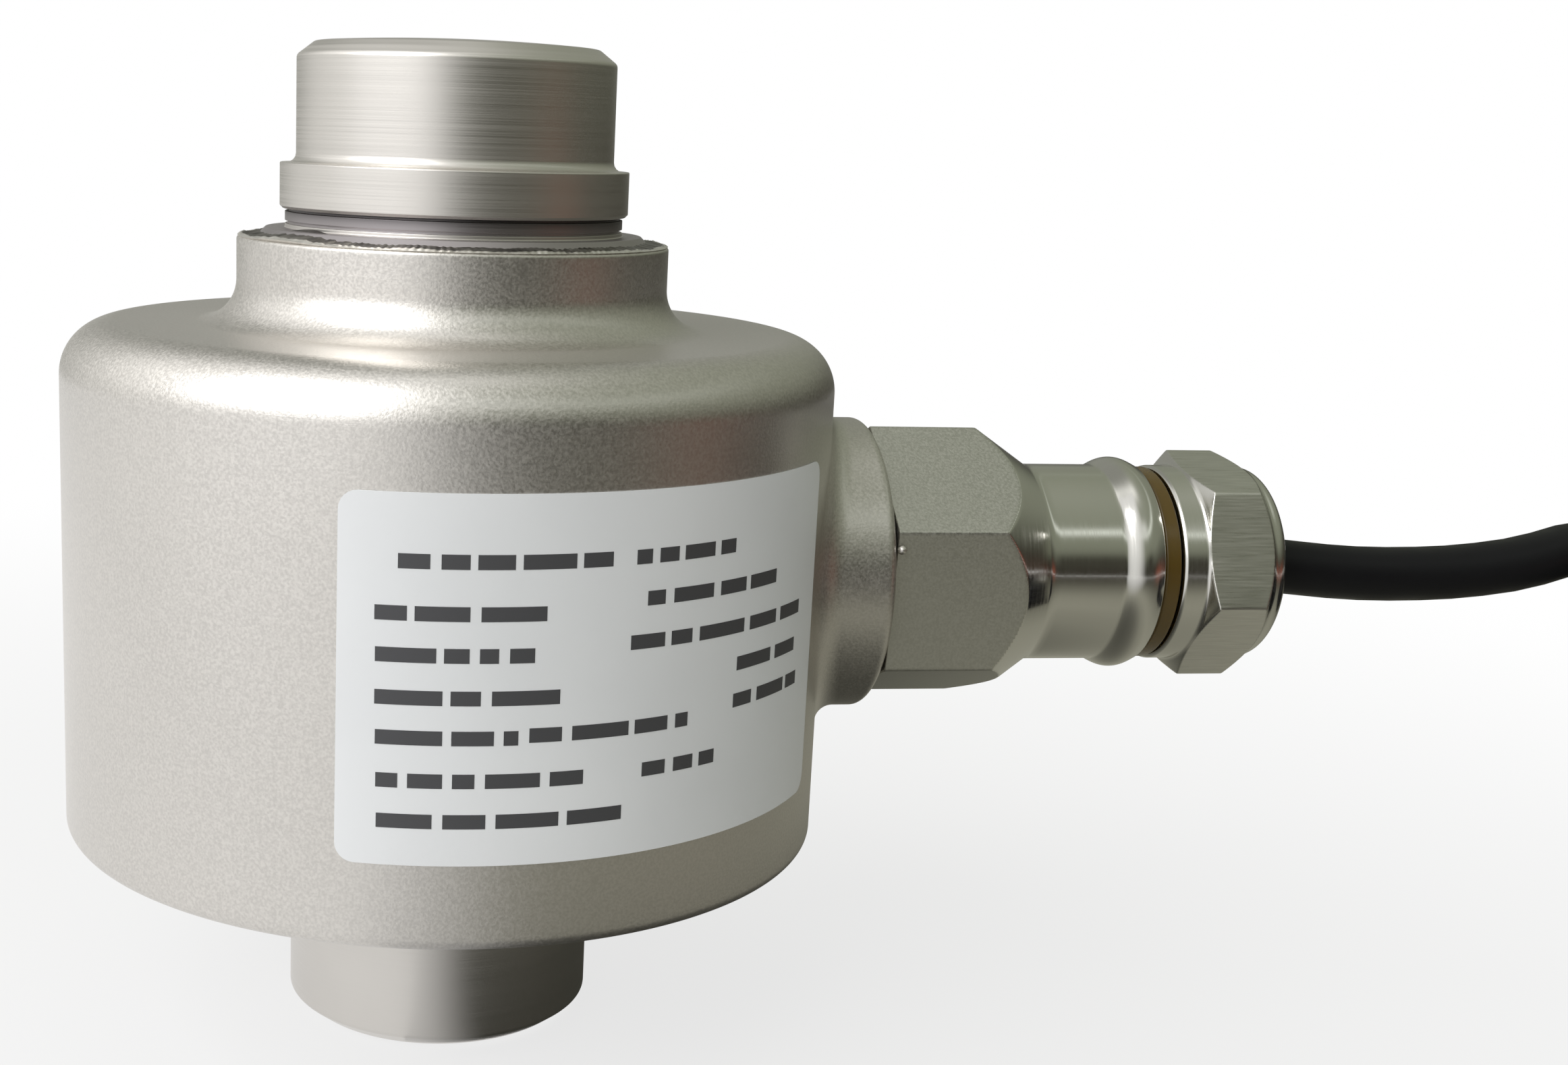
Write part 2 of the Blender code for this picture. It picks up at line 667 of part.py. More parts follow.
def make_board(board_material, resistor_material):
    """The ring board on the column's seat, with the bridge's two trimming resistors."""
    bottom = BOARD_SEAT_HEIGHT + TOUCH_GAP
    top = bottom + BOARD_THICKNESS
    bore = WAIST_RADIUS + WAIST_COVE + BOARD_BORE_GAP
    turned("ring_board", ring_outline(bore, BOARD_RADIUS, bottom, top), board_material, SMALL_TURN_STEPS)
    radius = RESISTOR_DIAMETER / 2
    for i, angle in enumerate((120, 240)):
        half = RESISTOR_LENGTH / 2
        body = [(0, -half), (radius * 0.7, -half), (radius, -half * 0.8)]
        body += [(across, -height) for across, height in reversed(body)]
        lie = Matrix.Rotation(math.radians(angle), 4, "Z")
        lie @= Matrix.Translation((RESISTOR_PITCH_RADIUS, 0, top + TOUCH_GAP + radius))
        lie @= Matrix.Rotation(math.radians(90), 4, "X")
        turned(f"trim_resistor_{i + 1}", body, resistor_material, 16, lie)
    return top


def smooth_path(route, spacing):
    """Evenly spaced points on a smooth curve through a route's points, with both ends kept."""
    points = np.array(route, float)
    padded = np.vstack([2 * points[0] - points[1], points, 2 * points[-1] - points[-2]])
    fine = []
    for before, a, b, after in zip(padded, padded[1:], padded[2:], padded[3:]):
        for t in np.linspace(0, 1, 40, endpoint=False):
            fine.append(
                0.5 * (2 * a + (b - before) * t + (2 * before - 5 * a + 4 * b - after) * t**2
                       + (3 * a - before - 3 * b + after) * t**3)
            )
    fine.append(points[-1])
    fine = np.array(fine)
    lengths = np.concatenate([[0], np.cumsum(np.linalg.norm(np.diff(fine, axis=0), axis=1))])
    count = max(2, round(lengths[-1] / spacing) + 1)
    even = np.linspace(0, lengths[-1], count)
    return np.stack([np.interp(even, lengths, fine[:, k]) for k in range(3)], axis=1)


def tube(name, points, diameter, material, resolution):
    """A round tube with flat ends along a chain of points."""
    data = bpy.data.curves.new(name, "CURVE")
    data.dimensions = "3D"
    data.bevel_depth = diameter / 2
    data.bevel_resolution = resolution
    data.use_fill_caps = True
    spline = data.splines.new("POLY")
    spline.points.add(len(points) - 1)
    for target, point in zip(spline.points, points):
        target.co = (*point, 1)
    data.materials.append(material)
    made = bpy.data.objects.new(name, data)
    bpy.context.scene.collection.objects.link(made)
    return made


def make_wires(board_top, held_start, materials):
    """Four cores from the ring board up and through the boss to the cable's end in the gland."""
    radius = WIRE_DIAMETER / 2
    low = board_top + TOUCH_GAP + radius
    for i, material in enumerate(materials):
        across = WIRE_SPACING / 2 * (1 if i % 2 else -1)
        up = WIRE_SPACING / 2 * (1 if i < 2 else -1)
        outward = WIRE_SPACING * (1 if i < 2 else 0)
        height = GLAND_HEIGHT + up
        rise = WIRE_START_RADIUS + 2 * WIRE_SPACING - outward
        route = [
            (WIRE_START_RADIUS - outward, across, low),
            (rise - WIRE_SPACING / 2, across, low + (height - low) * WIRE_BEND_SHARE),
            (rise + WIRE_SPACING, across, height - (height - low) * WIRE_BEND_SHARE),
            (rise + WIRE_BEND, across, height),
            ((rise + WIRE_BEND + held_start) / 2, across, height),
            (held_start - TOUCH_GAP, across, height),
        ]
        tube(f"bridge_wire_{i + 1}", smooth_path(route, 2.6 * WIRE_DIAMETER), WIRE_DIAMETER, material, 2)


def coil_size():
    """The coil's inner and outer radius and the heights of its bottom and top, with its ties under it."""
    pitch = CABLE_DIAMETER + TURN_GAP
    half_width = ((COIL_COLUMNS - 1) * pitch + CABLE_DIAMETER) / 2
    bottom = TIE_THICKNESS + TOUCH_GAP
    top = bottom + (COIL_LAYERS - 1) * pitch + CABLE_DIAMETER
    return COIL_MEAN_RADIUS - half_width, COIL_MEAN_RADIUS + half_width, bottom, top


def round_coil(radius, degrees, height):
    angle = math.radians(degrees)
    return (COIL_CENTRE_X + radius * math.cos(angle), COIL_CENTRE_Y + radius * math.sin(angle), height)


def cable_route():
    """Points of the free cable: out of the nut, over a crest and down to where it reaches the coil."""
    nut_face = gland_stations()["end"]
    outer = coil_size()[1]
    floor = coil_size()[2] + CABLE_DIAMETER / 2
    join = math.radians(JOIN_DEG)
    ahead = (math.sin(join), -math.cos(join))
    reach = math.sqrt((outer + TOUCH_GAP) ** 2 - (outer - CABLE_DIAMETER) ** 2)
    touch = round_coil(outer - CABLE_DIAMETER / 2, JOIN_DEG, floor)
    end = (touch[0] - ahead[0] * reach, touch[1] - ahead[1] * reach)
    corner = end[0] - end[1] * ahead[0] / ahead[1]
    length = corner + end[1] / ahead[1]

    def over_floor(distance, height):
        """The point at a distance along the route's line on the floor, which bends once to the side."""
        past = distance - corner
        if past <= -SIDE_BEND_REACH:
            return (distance, 0, height)
        if past >= SIDE_BEND_REACH:
            return (corner + past * ahead[0], past * ahead[1], height)
        share = (past + SIDE_BEND_REACH) ** 2 / (4 * SIDE_BEND_REACH)
        return (distance - (1 - ahead[0]) * share, ahead[1] * share, height)

    start = nut_face + CREST_DISTANCE
    half_fall = math.atan((CREST_HEIGHT - floor) / (length - start))
    radius = (length - start) / (2 * math.sin(2 * half_fall))
    route = [
        (nut_face - CABLE_ENTRY_DEPTH, 0, GLAND_HEIGHT),
        (nut_face + 5.7 * MM, 0, 49.2 * MM),
        (nut_face + 13.2 * MM, 0, 48.55 * MM),
        (nut_face + 20.7 * MM, 0, 48.45 * MM),
        (nut_face + 27.7 * MM, 0, 48.8 * MM),
        (nut_face + 34.7 * MM, 0, 49.75 * MM),
        over_floor(nut_face + 41.2 * MM, 51.0 * MM),
    ]
    turns = [2 * half_fall * i / 5 for i in range(6)]
    for turn in turns:
        distance = start + radius * math.sin(turn)
        route.append(over_floor(distance, CREST_HEIGHT - radius * (1 - math.cos(turn))))
    for turn in reversed(turns[:-1]):
        distance = length - radius * math.sin(turn)
        route.append(over_floor(distance, floor + radius * (1 - math.cos(turn))))
    return route


def make_tie(name, degrees, material):
    """A closed flat strap round the coil's section."""
    inner, outer, bottom, top = coil_size()
    slack = TOUCH_GAP
    loops = []
    for grow, corner in ((slack, TIE_CORNER), (slack + TIE_THICKNESS, TIE_CORNER + TIE_THICKNESS)):
        low_r, high_r = inner - grow + corner, outer + grow - corner
        low_z, high_z = bottom - grow + corner, top + grow - corner
        loop = arc((high_r, high_z), corner, 0, 90, 4)
        loop += arc((low_r, high_z), corner, 90, 180, 4)
        loop += arc((low_r, low_z), corner, 180, 270, 4)
        loop += arc((high_r, low_z), corner, 270, 360, 4)
        loops.append(loop)
    mesh = bmesh.new()
    rings = []
    for loop, side in ((loops[0], -1), (loops[1], -1), (loops[1], 1), (loops[0], 1)):
        rings.append([mesh.verts.new((radius, side * TIE_WIDTH / 2, height)) for radius, height in loop])
    count = len(loops[0])
    for ring, following in zip(rings, rings[1:] + rings[:1]):
        for i in range(count):
            j = (i + 1) % count
            mesh.faces.new((ring[i], ring[j], following[j], following[i]))
    mesh.transform(Matrix.Rotation(math.radians(degrees), 4, "Z"))
    mesh.transform(Matrix.Translation((COIL_CENTRE_X, COIL_CENTRE_Y, 0)))
    return place(name, mesh, material)


def make_cable(jacket, tie_material, lead_materials):
    """The free cable, its coil, the coil's ties and the bare far end that lies on the coil."""
    spacing = 1.6 * CABLE_DIAMETER
    tube("cable", smooth_path(cable_route(), spacing), CABLE_DIAMETER, jacket, 3)
    inner, outer, bottom, top = coil_size()
    corners = ((outer, bottom, -90), (outer, top, 0), (inner, top, 90), (inner, bottom, 180))
    outline = []
    for radius, height, start in corners:
        across = COIL_CORNER if radius == inner else -COIL_CORNER
        up = COIL_CORNER if height == bottom else -COIL_CORNER
        outline += arc((radius + across, height + up), COIL_CORNER, start, start + 90, 3)
    lie = Matrix.Translation((COIL_CENTRE_X, COIL_CENTRE_Y, 0))
    turned("cable_coil", outline, jacket, SMALL_TURN_STEPS, lie)
    for i, degrees in enumerate(TIE_ANGLES_DEG):
        make_tie(f"coil_tie_{i + 1}", degrees, tie_material)

    start, end = CABLE_END_DEG
    height = top + TOUCH_GAP + CABLE_DIAMETER / 2
    last_turn = outer - CABLE_DIAMETER / 2
    points = []
    for i in range(7):
        share = i / 6
        inward = share**2 * (3 - 2 * share) * (last_turn - CABLE_END_RADIUS)
        points.append(round_coil(last_turn - inward, start + (end - start) * share, height))
    tube("cable_end", points, CABLE_DIAMETER, jacket, 3)
    gap = math.degrees(TOUCH_GAP / CABLE_END_RADIUS)
    low = top + TOUCH_GAP + LEAD_DIAMETER / 2
    for i, material in enumerate(lead_materials):
        side = i - (len(lead_materials) - 1) / 2
        route = [
            (CABLE_END_RADIUS + side * LEAD_DIAMETER * 1.25, end - gap, height),
            (CABLE_END_RADIUS + side * LEAD_DIAMETER * 1.35, end - 5, height - 0.4 * MM),
            (CABLE_END_RADIUS + side * LEAD_SPREAD * 0.75, end - 14, (height + low) / 2),
            (CABLE_END_RADIUS + side * LEAD_SPREAD, end - 24, low + 0.1 * MM),
            (CABLE_END_RADIUS + side * LEAD_SPREAD, LEAD_END_DEG + 5, low),
            (CABLE_END_RADIUS + side * LEAD_SPREAD * 0.9, LEAD_END_DEG + abs(side) * 2, low),
        ]
        path = smooth_path([round_coil(*point) for point in route], 2.6 * LEAD_DIAMETER)
        tube(f"cable_lead_{i + 1}", path, LEAD_DIAMETER, material, 2)


def main():
    clear_scene()
    turned_steel = finish("steel_turned", (0.62, 0.60, 0.57), 0.32, 1.0)
    blasted_steel = finish("steel_blasted", (0.56, 0.53, 0.49), 0.48, 1.0)
    weld_steel = finish("steel_weld", (0.42, 0.38, 0.33), 0.45, 1.0)
    bright_steel = finish("steel_polished", (0.68, 0.66, 0.62), 0.18, 1.0)
    film = finish("label_silver", (0.78, 0.79, 0.81), 0.42, 0.0)
    rubber = finish("rubber_black", (0.03, 0.03, 0.03), 0.7, 0.0)
    amber = finish("seal_amber", (0.22, 0.14, 0.03), 0.35, 0.0)
    jacket = finish("jacket_black", (0.018, 0.018, 0.02), 0.4, 0.0)
    board = finish("board_green", (0.05, 0.17, 0.08), 0.5, 0.0)
    ceramic = finish("resistor_body", (0.35, 0.45, 0.55), 0.4, 0.0)
    foil = finish("gauge_foil", (0.65, 0.45, 0.2), 0.35, 0.3)
    tie = finish("tie_black", (0.05, 0.05, 0.05), 0.55, 0.0)
    cores = [
        finish("core_red", (0.5, 0.03, 0.03), 0.45, 0.0),
        finish("core_black", (0.03, 0.03, 0.03), 0.45, 0.0),
        finish("core_green", (0.03, 0.3, 0.08), 0.45, 0.0),
        finish("core_white", (0.8, 0.8, 0.78), 0.45, 0.0),
    ]
    make_load_column(turned_steel)
    make_housing_shell(blasted_steel)
    make_neck_weld(weld_steel)
    make_base(blasted_steel, weld_steel)
    make_label(film)
    make_side_boss(blasted_steel, weld_steel)
    make_gland_body(blasted_steel)
    make_gland_nut(bright_steel)
    held_start = make_gland_inside(rubber, amber, bright_steel, jacket)
    make_gauges(foil)
    board_top = make_board(board, ceramic)
    make_wires(board_top, held_start, cores)
    make_cable(jacket, tie, cores)


main()
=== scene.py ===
"""Looks of the canister load cell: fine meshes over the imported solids, finishes, the cable, light and camera.

Lengths are metres. +Z is the load axis, and +X runs out along the cable gland.
"""

import json
import math

import bmesh
import bpy
import numpy as np
from mathutils import Matrix, Vector


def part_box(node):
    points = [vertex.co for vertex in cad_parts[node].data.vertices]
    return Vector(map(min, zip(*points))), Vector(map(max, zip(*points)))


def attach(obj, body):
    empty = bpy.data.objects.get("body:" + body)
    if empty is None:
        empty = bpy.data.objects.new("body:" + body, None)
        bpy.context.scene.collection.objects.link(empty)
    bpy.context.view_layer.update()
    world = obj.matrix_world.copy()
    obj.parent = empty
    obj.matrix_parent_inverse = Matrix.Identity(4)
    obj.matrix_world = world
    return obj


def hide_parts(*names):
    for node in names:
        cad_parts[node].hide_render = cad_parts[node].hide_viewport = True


MM = 0.001
MERGE_DISTANCE = 0.0005 * MM
TOUCH_GAP = 0.3 * MM  # between pieces that rest on or in each other

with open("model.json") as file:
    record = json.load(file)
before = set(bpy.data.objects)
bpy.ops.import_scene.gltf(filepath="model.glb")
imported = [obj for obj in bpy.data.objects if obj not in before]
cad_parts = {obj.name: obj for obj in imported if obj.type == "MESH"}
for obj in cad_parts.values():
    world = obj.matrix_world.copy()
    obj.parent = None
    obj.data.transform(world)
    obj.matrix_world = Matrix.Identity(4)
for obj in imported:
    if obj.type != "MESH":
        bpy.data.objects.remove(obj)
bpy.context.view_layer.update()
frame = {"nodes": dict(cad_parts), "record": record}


def low(node, axis):
    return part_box(node)[0][axis]


def high(node, axis):
    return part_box(node)[1][axis]


# Camera, as the photograph has it
CAMERA_PLACE = (-0.01950, -0.20781, 0.09554)
CAMERA_TURN_DEG = 8.348  # to the right of +Y
CAMERA_TILT_DEG = -11.455
CAMERA_ROLL_DEG = 1.879
LENS = 45.157  # for a sensor 36 wide
SHIFT_X = 0.1506

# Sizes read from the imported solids
SHELL_RADIUS = high("housing_shell", 0)
SHELL_BOTTOM = low("housing_shell", 2)
NECK_TOP = high("housing_shell", 2)
COLUMN_TOP = high("load_column", 2)
FLANGE_RADIUS = high("load_column", 0)
FLANGE_TOP = high("neck_weld", 2) - TOUCH_GAP
PLATE_BOTTOM = low("base_plate", 2)
PLATE_TOP = high("base_plate", 2)
GLAND_HEIGHT = (low("cable_in_gland", 2) + high("cable_in_gland", 2)) / 2
BOSS_END = high("side_boss", 0)
BODY_START = BOSS_END + TOUCH_GAP
THREAD_END = high("gland_body", 0)
NUT_START = low("gland_nut", 0)
NUT_END = high("gland_nut", 0)
CABLE_DIAMETER = 6.3 * MM

# Column
BUTTON_RADIUS = 16.5 * MM
CROWN_RADIUS = 14.7 * MM
CROWN_RISE = 0.55 * MM
CENTRE_FLAT_RADIUS = 3.0 * MM
BUTTON_CHAMFER_HEIGHT = 1.4 * MM
BAND_BOTTOM = 87.2 * MM
BAND_TOP = 91.85 * MM
BAND_RADIUS = 18.15 * MM
BAND_CHAMFER = 0.3 * MM  # at its lower edge
BAND_COVE = 0.95 * MM
COLLAR_RADIUS = 17.6 * MM
RECESS_DEPTH = 0.4 * MM  # of the collar, right under the band
RECESS_HEIGHT = 0.3 * MM
GROOVE_DEPTH = 0.3 * MM
GROOVE_BOTTOM = 0.4 * MM  # up from the flange
GROOVE_TOP = 0.7 * MM
FLANGE_THICKNESS = 4.6 * MM
FLANGE_CHAMFER = 1.05 * MM
PAINTED_SHADE_HEIGHT = 1.3 * MM  # height of the painted shade: under the band, over which the collar is painted darker, and down the flange's edge
BASE_FLANGE_RADIUS = 20.0 * MM
BOARD_SEAT_HEIGHT = 31.0 * MM
WAIST_RADIUS = 11.9 * MM
WAIST_BOTTOM = 36.0 * MM
WAIST_TOP = 70.0 * MM

# Housing
SHELL_WALL = 1.6 * MM
SHELL_TOP = 75.55 * MM
SHOULDER_RADIUS = 5.5 * MM
BOTTOM_EDGE_RADIUS = 1.2 * MM
NECK_RADIUS = 22.55 * MM
NECK_FILLET = 4.35 * MM
LUMP_DEG = -146.0  # where the neck's weld bead is thickest
LUMP_WIDTH_DEG = 13.0
LIP_SHARE = 0.86  # how far out across the bead its raised lip lies
LIP_RADIUS = 21.95 * MM
SEAM_BEAD_RADIUS = 0.5 * MM
LABEL_WIDTH = 55.7 * MM
LABEL_HEIGHT = 34.2 * MM
LABEL_BOTTOM = low("label_film", 2)
LABEL_LEFT_DEG = -109.0
LABEL_CORNER = 1.8 * MM
LABEL_LIFT = 0.05 * MM
LABEL_THICKNESS = 0.12 * MM
BAR_HEIGHT = 1.35 * MM
BAR_THICKNESS = 0.02 * MM
# rows of bars: up from the label's bottom edge, then from and to, across from its left edge, in mm
BAR_ROWS = (
    (28.1, 5.4, 24.8),
    (28.1, 27.2, 38.9),
    (23.4, 3.4, 18.7),
    (24.2, 28.5, 45.8),
    (19.6, 3.5, 18.9),
    (20.2, 26.9, 52.6),
    (15.7, 3.5, 20.2),
    (16.5, 39.9, 50.5),
    (12.0, 3.6, 16.4),
    (12.2, 17.4, 33.6),
    (12.9, 39.6, 51.4),
    (8.0, 3.7, 22.6),
    (8.0, 28.6, 37.2),
    (4.2, 3.8, 26.9),
)

# Boss and gland
BOSS_RADIUS = 16.0 * MM
BOSS_EDGE_RADIUS = 1.0 * MM
BOSS_WELD_LEG = 2.5 * MM
BOSS_FOOT_HEIGHT = 3.2 * MM  # up to which it follows the round housing
SPIGOT_RADIUS = 8.0 * MM
TACK_RADIUS = 0.5 * MM
TACK_PLACE = (46.15 * MM, -14.71 * MM, 54.27 * MM)
BODY_FLATS = 27.0 * MM
BODY_TURN_DEG = 23.4
BODY_HEX_LENGTH = 11.9 * MM
BODY_CONE_LENGTH = 6.8 * MM
SLEEVE_RADIUS = 11.0 * MM
SLEEVE_LENGTH = 8.2 * MM
BEAD_RADIUS = 11.9 * MM
BEAD_LENGTH = 4.4 * MM
BEAD_SWEEP_DEG = 160.0
THREAD_RADIUS = 9.5 * MM
NUT_FLATS = 22.4 * MM
NUT_TURN_DEG = -12.0
NUT_COLLAR_RADIUS = 11.0 * MM
NUT_COLLAR_LENGTH = 2.7 * MM
NUT_CONE_LENGTH = 0.95 * MM
NUT_HEX_LENGTH = 5.35 * MM
NUT_END_RADIUS = 10.9 * MM
NUT_END_EDGE = 1.8 * MM

# Coil of spare cable
COIL_X = 225.0 * MM
COIL_Y = -12.0 * MM
JOIN_DEG = 116.0  # where the cable runs into the coil's lowest outer turn
CREST_DISTANCE = 46.2 * MM
CREST_HEIGHT = 51.2 * MM
SIDE_BEND_REACH = 12.0 * MM
# the cable's line from the nut to the bend: distance past the nut and height, in mm
CABLE_SAG = ((5.7, 49.2), (13.2, 48.55), (20.7, 48.45), (27.7, 48.8), (34.7, 49.75))
COIL_MEAN_RADIUS = 37.8 * MM
COIL_COLUMNS = 5
COIL_LAYERS = 4
TURN_PITCH = 6.43 * MM
CROSSING_SHARE = 0.2  # of a turn, in which it moves over by one pitch
TIE_ANGLES_DEG = (184.0, 278.0, 372.0)
TIE_WIDTH = 4.0 * MM
TIE_THICKNESS = 1.0 * MM
TIE_CORNER = 2.9 * MM
TIE_RIB_SPACING = 1.2 * MM
CABLE_END_DEG = 72.0
CABLE_END_RADIUS = 41.0 * MM

# Light
KEY_PLACE = (-0.86, -0.40, 0.88)
KEY_AIM = (0, 0, 0.06)
KEY_SIZE = (1.7, 1.05)
KEY_POWER = 21.5
WORLD_LIGHT = 0.17  # as light on the cell, while it is seen as plain white
FLOOR_RADIUS = 6.0
FLOOR_COLOUR = (0.52, 0.52, 0.52)
# how white the floor is seen: two distances from the load axis, and the share of white at each
FLOOR_FADE = (0.05, 0.32, 0.76, 1.0)
FLOOR_FADE_IN_METAL = (0.02, 0.13, 0.75, 0.80)

# What the metal mirrors: a dome and a card on the floor, neither of them seen by the camera. Both run round from +X,
# and start with a plain tone that changes into their own over some degrees.
TENT_RADIUS = 0.6
TENT_FOOT = 0.015  # the card's inner edge, from the load axis
TENT_START_DEG = -120
TENT_END_DEG = 190
CARD_START_DEG = -108
CARD_END_DEG = 108
TENT_SOFT_START_DEG = 35
# two distances from the load axis, and at each the card's level, which is painted shadow of the cell making the card
# darker near the axis, or its starting tone
CARD_PAINTED_SHADOW = (0.045, 0.095, 0.25, 1.0)
CARD_START_TONE = (0.03, 0.14, 0.62, 0.72)
# colours by degrees above the horizon
TENT_TONES = (
    (-60, 0.17, 0.168, 0.14),
    (-45, 0.235, 0.232, 0.19),
    (-37, 0.345, 0.34, 0.28),
    (-26, 0.30, 0.296, 0.24),
    (-12, 0.08, 0.077, 0.057),
    (-5, 0.04, 0.034, 0.025),
    (3, 0.04, 0.037, 0.027),
    (9, 0.11, 0.115, 0.087),
    (18, 0.25, 0.265, 0.205),
    (40, 0.29, 0.31, 0.24),
    (62, 0.36, 0.38, 0.31),
    (90, 0.50, 0.51, 0.46),
)
# behind the cell, between two turns: one tone below the horizon and one above it
BEHIND_TURN_DEG = (45, 85)
BEHIND_LOWEST_DEG = -20
BEHIND_RISE_DEG = (-12, 0)
BEHIND_TONE = (0.22, 0.225, 0.205)
BEHIND_TONE_ABOVE = (0.32, 0.325, 0.295)
LEFT_TURN_DEG = (105, 155)
LEFT_TONE = (0.80, 0.80, 0.78)
# patches: round from +X and up in degrees, their half widths, and their colour
TENT_PATCHES = (
    (-24, -3, 14, 5, (0.26, 0.075, 0.045)),
    (-50, 38, 60, 3.0, (1.0, 1.05, 0.97)),
    (-5, 90, 400, 12, (1.2, 1.2, 1.16)),
    (-84, 44, 20, 9, (0.85, 0.87, 0.83)),
    (-66, 10, 18, 8, (0.04, 0.037, 0.027)),
)

# Meshes


def put(name, data):
    """A new object in the scene."""
    made = bpy.data.objects.new(name, data)
    bpy.context.scene.collection.objects.link(made)
    return made


def object_of(name, mesh, material, sharp_deg=38.0):
    """A piece of the object from a bmesh, with merged points and faces turned outwards."""
    bmesh.ops.remove_doubles(mesh, verts=mesh.verts, dist=MERGE_DISTANCE)
    bmesh.ops.dissolve_degenerate(mesh, edges=mesh.edges, dist=MERGE_DISTANCE)
    bmesh.ops.recalc_face_normals(mesh, faces=mesh.faces)
    if mesh.calc_volume(signed=True) < 0:
        bmesh.ops.reverse_faces(mesh, faces=mesh.faces)
    data = bpy.data.meshes.new(name)
    mesh.to_mesh(data)
    mesh.free()
    data.shade_smooth()
    data.set_sharp_from_angle(angle=math.radians(sharp_deg))
    data.materials.append(material)
    return put(name, data)


def skin(rings, second=None):
    """A closed mesh over closed rings of points, the last of which meets the first. The faces between points that
    second marks take the piece's second material."""
    mesh = bmesh.new()
    made = [[mesh.verts.new(point) for point in ring] for ring in rings]
    for k, (ring, following) in enumerate(zip(made, made[1:] + made[:1])):
        for i in range(len(ring)):
            j = (i + 1) % len(ring)
            face = mesh.faces.new((ring[i], ring[j], following[j], following[i]))
            if second is not None:
                after = second[(k + 1) % len(rings)]
                face.material_index = int(second[k][i]) + int(second[k][j]) + int(after[i]) + int(after[j]) > 2
    return mesh


def soften(corners, steps=4, support=0.12 * MM):
    """An outline whose corners (across, along, radius) are rounded, with points beside each arc to keep flats flat."""
    points = []
    count = len(corners)
    for i, (x, y, radius) in enumerate(corners):
        here = Vector((x, y))
        if radius == 0:
            points.append((x, y))
            continue
        back = (Vector(corners[i - 1][:2]) - here).normalized()
        ahead = (Vector(corners[(i + 1) % count][:2]) - here).normalized()
        half = math.acos(max(-1, min(1, back.dot(ahead)))) / 2
        reach = radius / math.tan(half)
        centre = here + (back + ahead).normalized() * (radius / math.sin(half))
        first, last = here + back * reach - centre, here + ahead * reach - centre
        turn = math.atan2(first.x * last.y - first.y * last.x, first.dot(last))
        points.append(tuple(centre + first + back * support))
        for k in range(steps + 1):
            angle = turn * k / steps
            spin = Vector((
                first.x * math.cos(angle) - first.y * math.sin(angle),
                first.x * math.sin(angle) + first.y * math.cos(angle),
            ))
            points.append(tuple(centre + spin))
        points.append(tuple(centre + last + ahead * support))
    return points


def arc(centre, radius, start_deg, end_deg, steps):
    angles = [math.radians(start_deg + (end_deg - start_deg) * i / steps) for i in range(steps + 1)]
    return [(centre[0] + radius * math.cos(a), centre[1] + radius * math.sin(a)) for a in angles]


def revolve(name, outline, material, steps=288, along_x=False, sharp_deg=38.0):
    """Turns an outline of (radius, height) round Z, or of (radius, distance) round the gland's axis."""
    angles = np.linspace(0, 2 * math.pi, steps, endpoint=False)
    rings = []
    for radius, height in outline:
        across, up = max(radius, 0) * np.cos(angles), max(radius, 0) * np.sin(angles)
        along = np.full(steps, height)
        if along_x:
            rings.append(np.stack([along, across, up + GLAND_HEIGHT], axis=1))
        else:
            rings.append(np.stack([across, up, along], axis=1))
    return object_of(name, skin(rings), material, sharp_deg)


def soft_least(values, blend):
    """The least of several values with the change from one to the next rounded off."""
    values = np.stack(values)
    least = values.min(axis=0)
    return least - blend * np.log(np.exp(-(values - least) / blend).sum(axis=0))


def hex_reach(angles, flats, turn_deg, edge):
    """How far a hexagon with slightly rounded corners reaches at each angle up from the side facing -Y."""
    sides = [math.radians(turn_deg + 30 + 60 * i) for i in range(6)]
    planes = []
    for side in sides:
        facing = np.maximum(np.cos(angles - side), 0.05)
        planes.append(flats / 2 / facing)
    return soft_least(planes, edge)


def hex_angles(turn_deg, per_side=44):
    """Angles round a hexagon, closer together near its corners."""
    share = np.linspace(-1, 1, per_side, endpoint=False)
    spread = 30 * share * (1.5 - 0.5 * share**2)
    return np.radians(np.concatenate([turn_deg + 30 + 60 * i + spread for i in range(6)]))


def hex_piece(name, stations, flats, turn_deg, turned, milled, edge=0.10 * MM, blend=0.05 * MM):
    """A turned outline cut by a hexagon, with one finish on what is turned and one on the flats. A station is
    (distance, radius), or (distance, inner radius, share) on an end face, where the share runs from the inner
    radius out to the hexagon."""
    angles = hex_angles(turn_deg)
    limit = hex_reach(angles, flats, turn_deg, edge)
    rings = []
    on_flat = []
    for station in stations:
        if len(station) == 3:
            distance, inner, share = station
            reach = inner + (limit - inner) * share
            on_flat.append(np.full(len(angles), True))
        else:
            distance, radius = station
            reach = soft_least([np.full(len(angles), radius), limit], blend)
            on_flat.append(limit < radius)
        along = np.full(len(angles), distance)
        rings.append(np.stack([along, -reach * np.cos(angles), reach * np.sin(angles) + GLAND_HEIGHT], axis=1))
    piece = object_of(name, skin(rings, on_flat), turned)
    piece.data.materials.append(milled)
    return piece


def between(first, last, count):
    return [first + (last - first) * (i + 1) / count for i in range(count)]


def line_of(start, end, count):
    """Stations from start, left out, to end along a straight flank."""
    return list(zip(between(start[0], end[0], count), between(start[1], end[1], count)))


def keep(piece, *nodes, slot=None):
    """The piece rides on the cell and stands for the solids that it details."""
    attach(piece, "root")
    if nodes:
        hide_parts(*nodes)
    return piece


# Geometry Nodes


def fill(tree, socket, value):
    """A socket takes another node's output as a link, or else a plain value."""
    if hasattr(value, "links"):
        tree.links.new(value, socket)
    else:
        socket.default_value = value


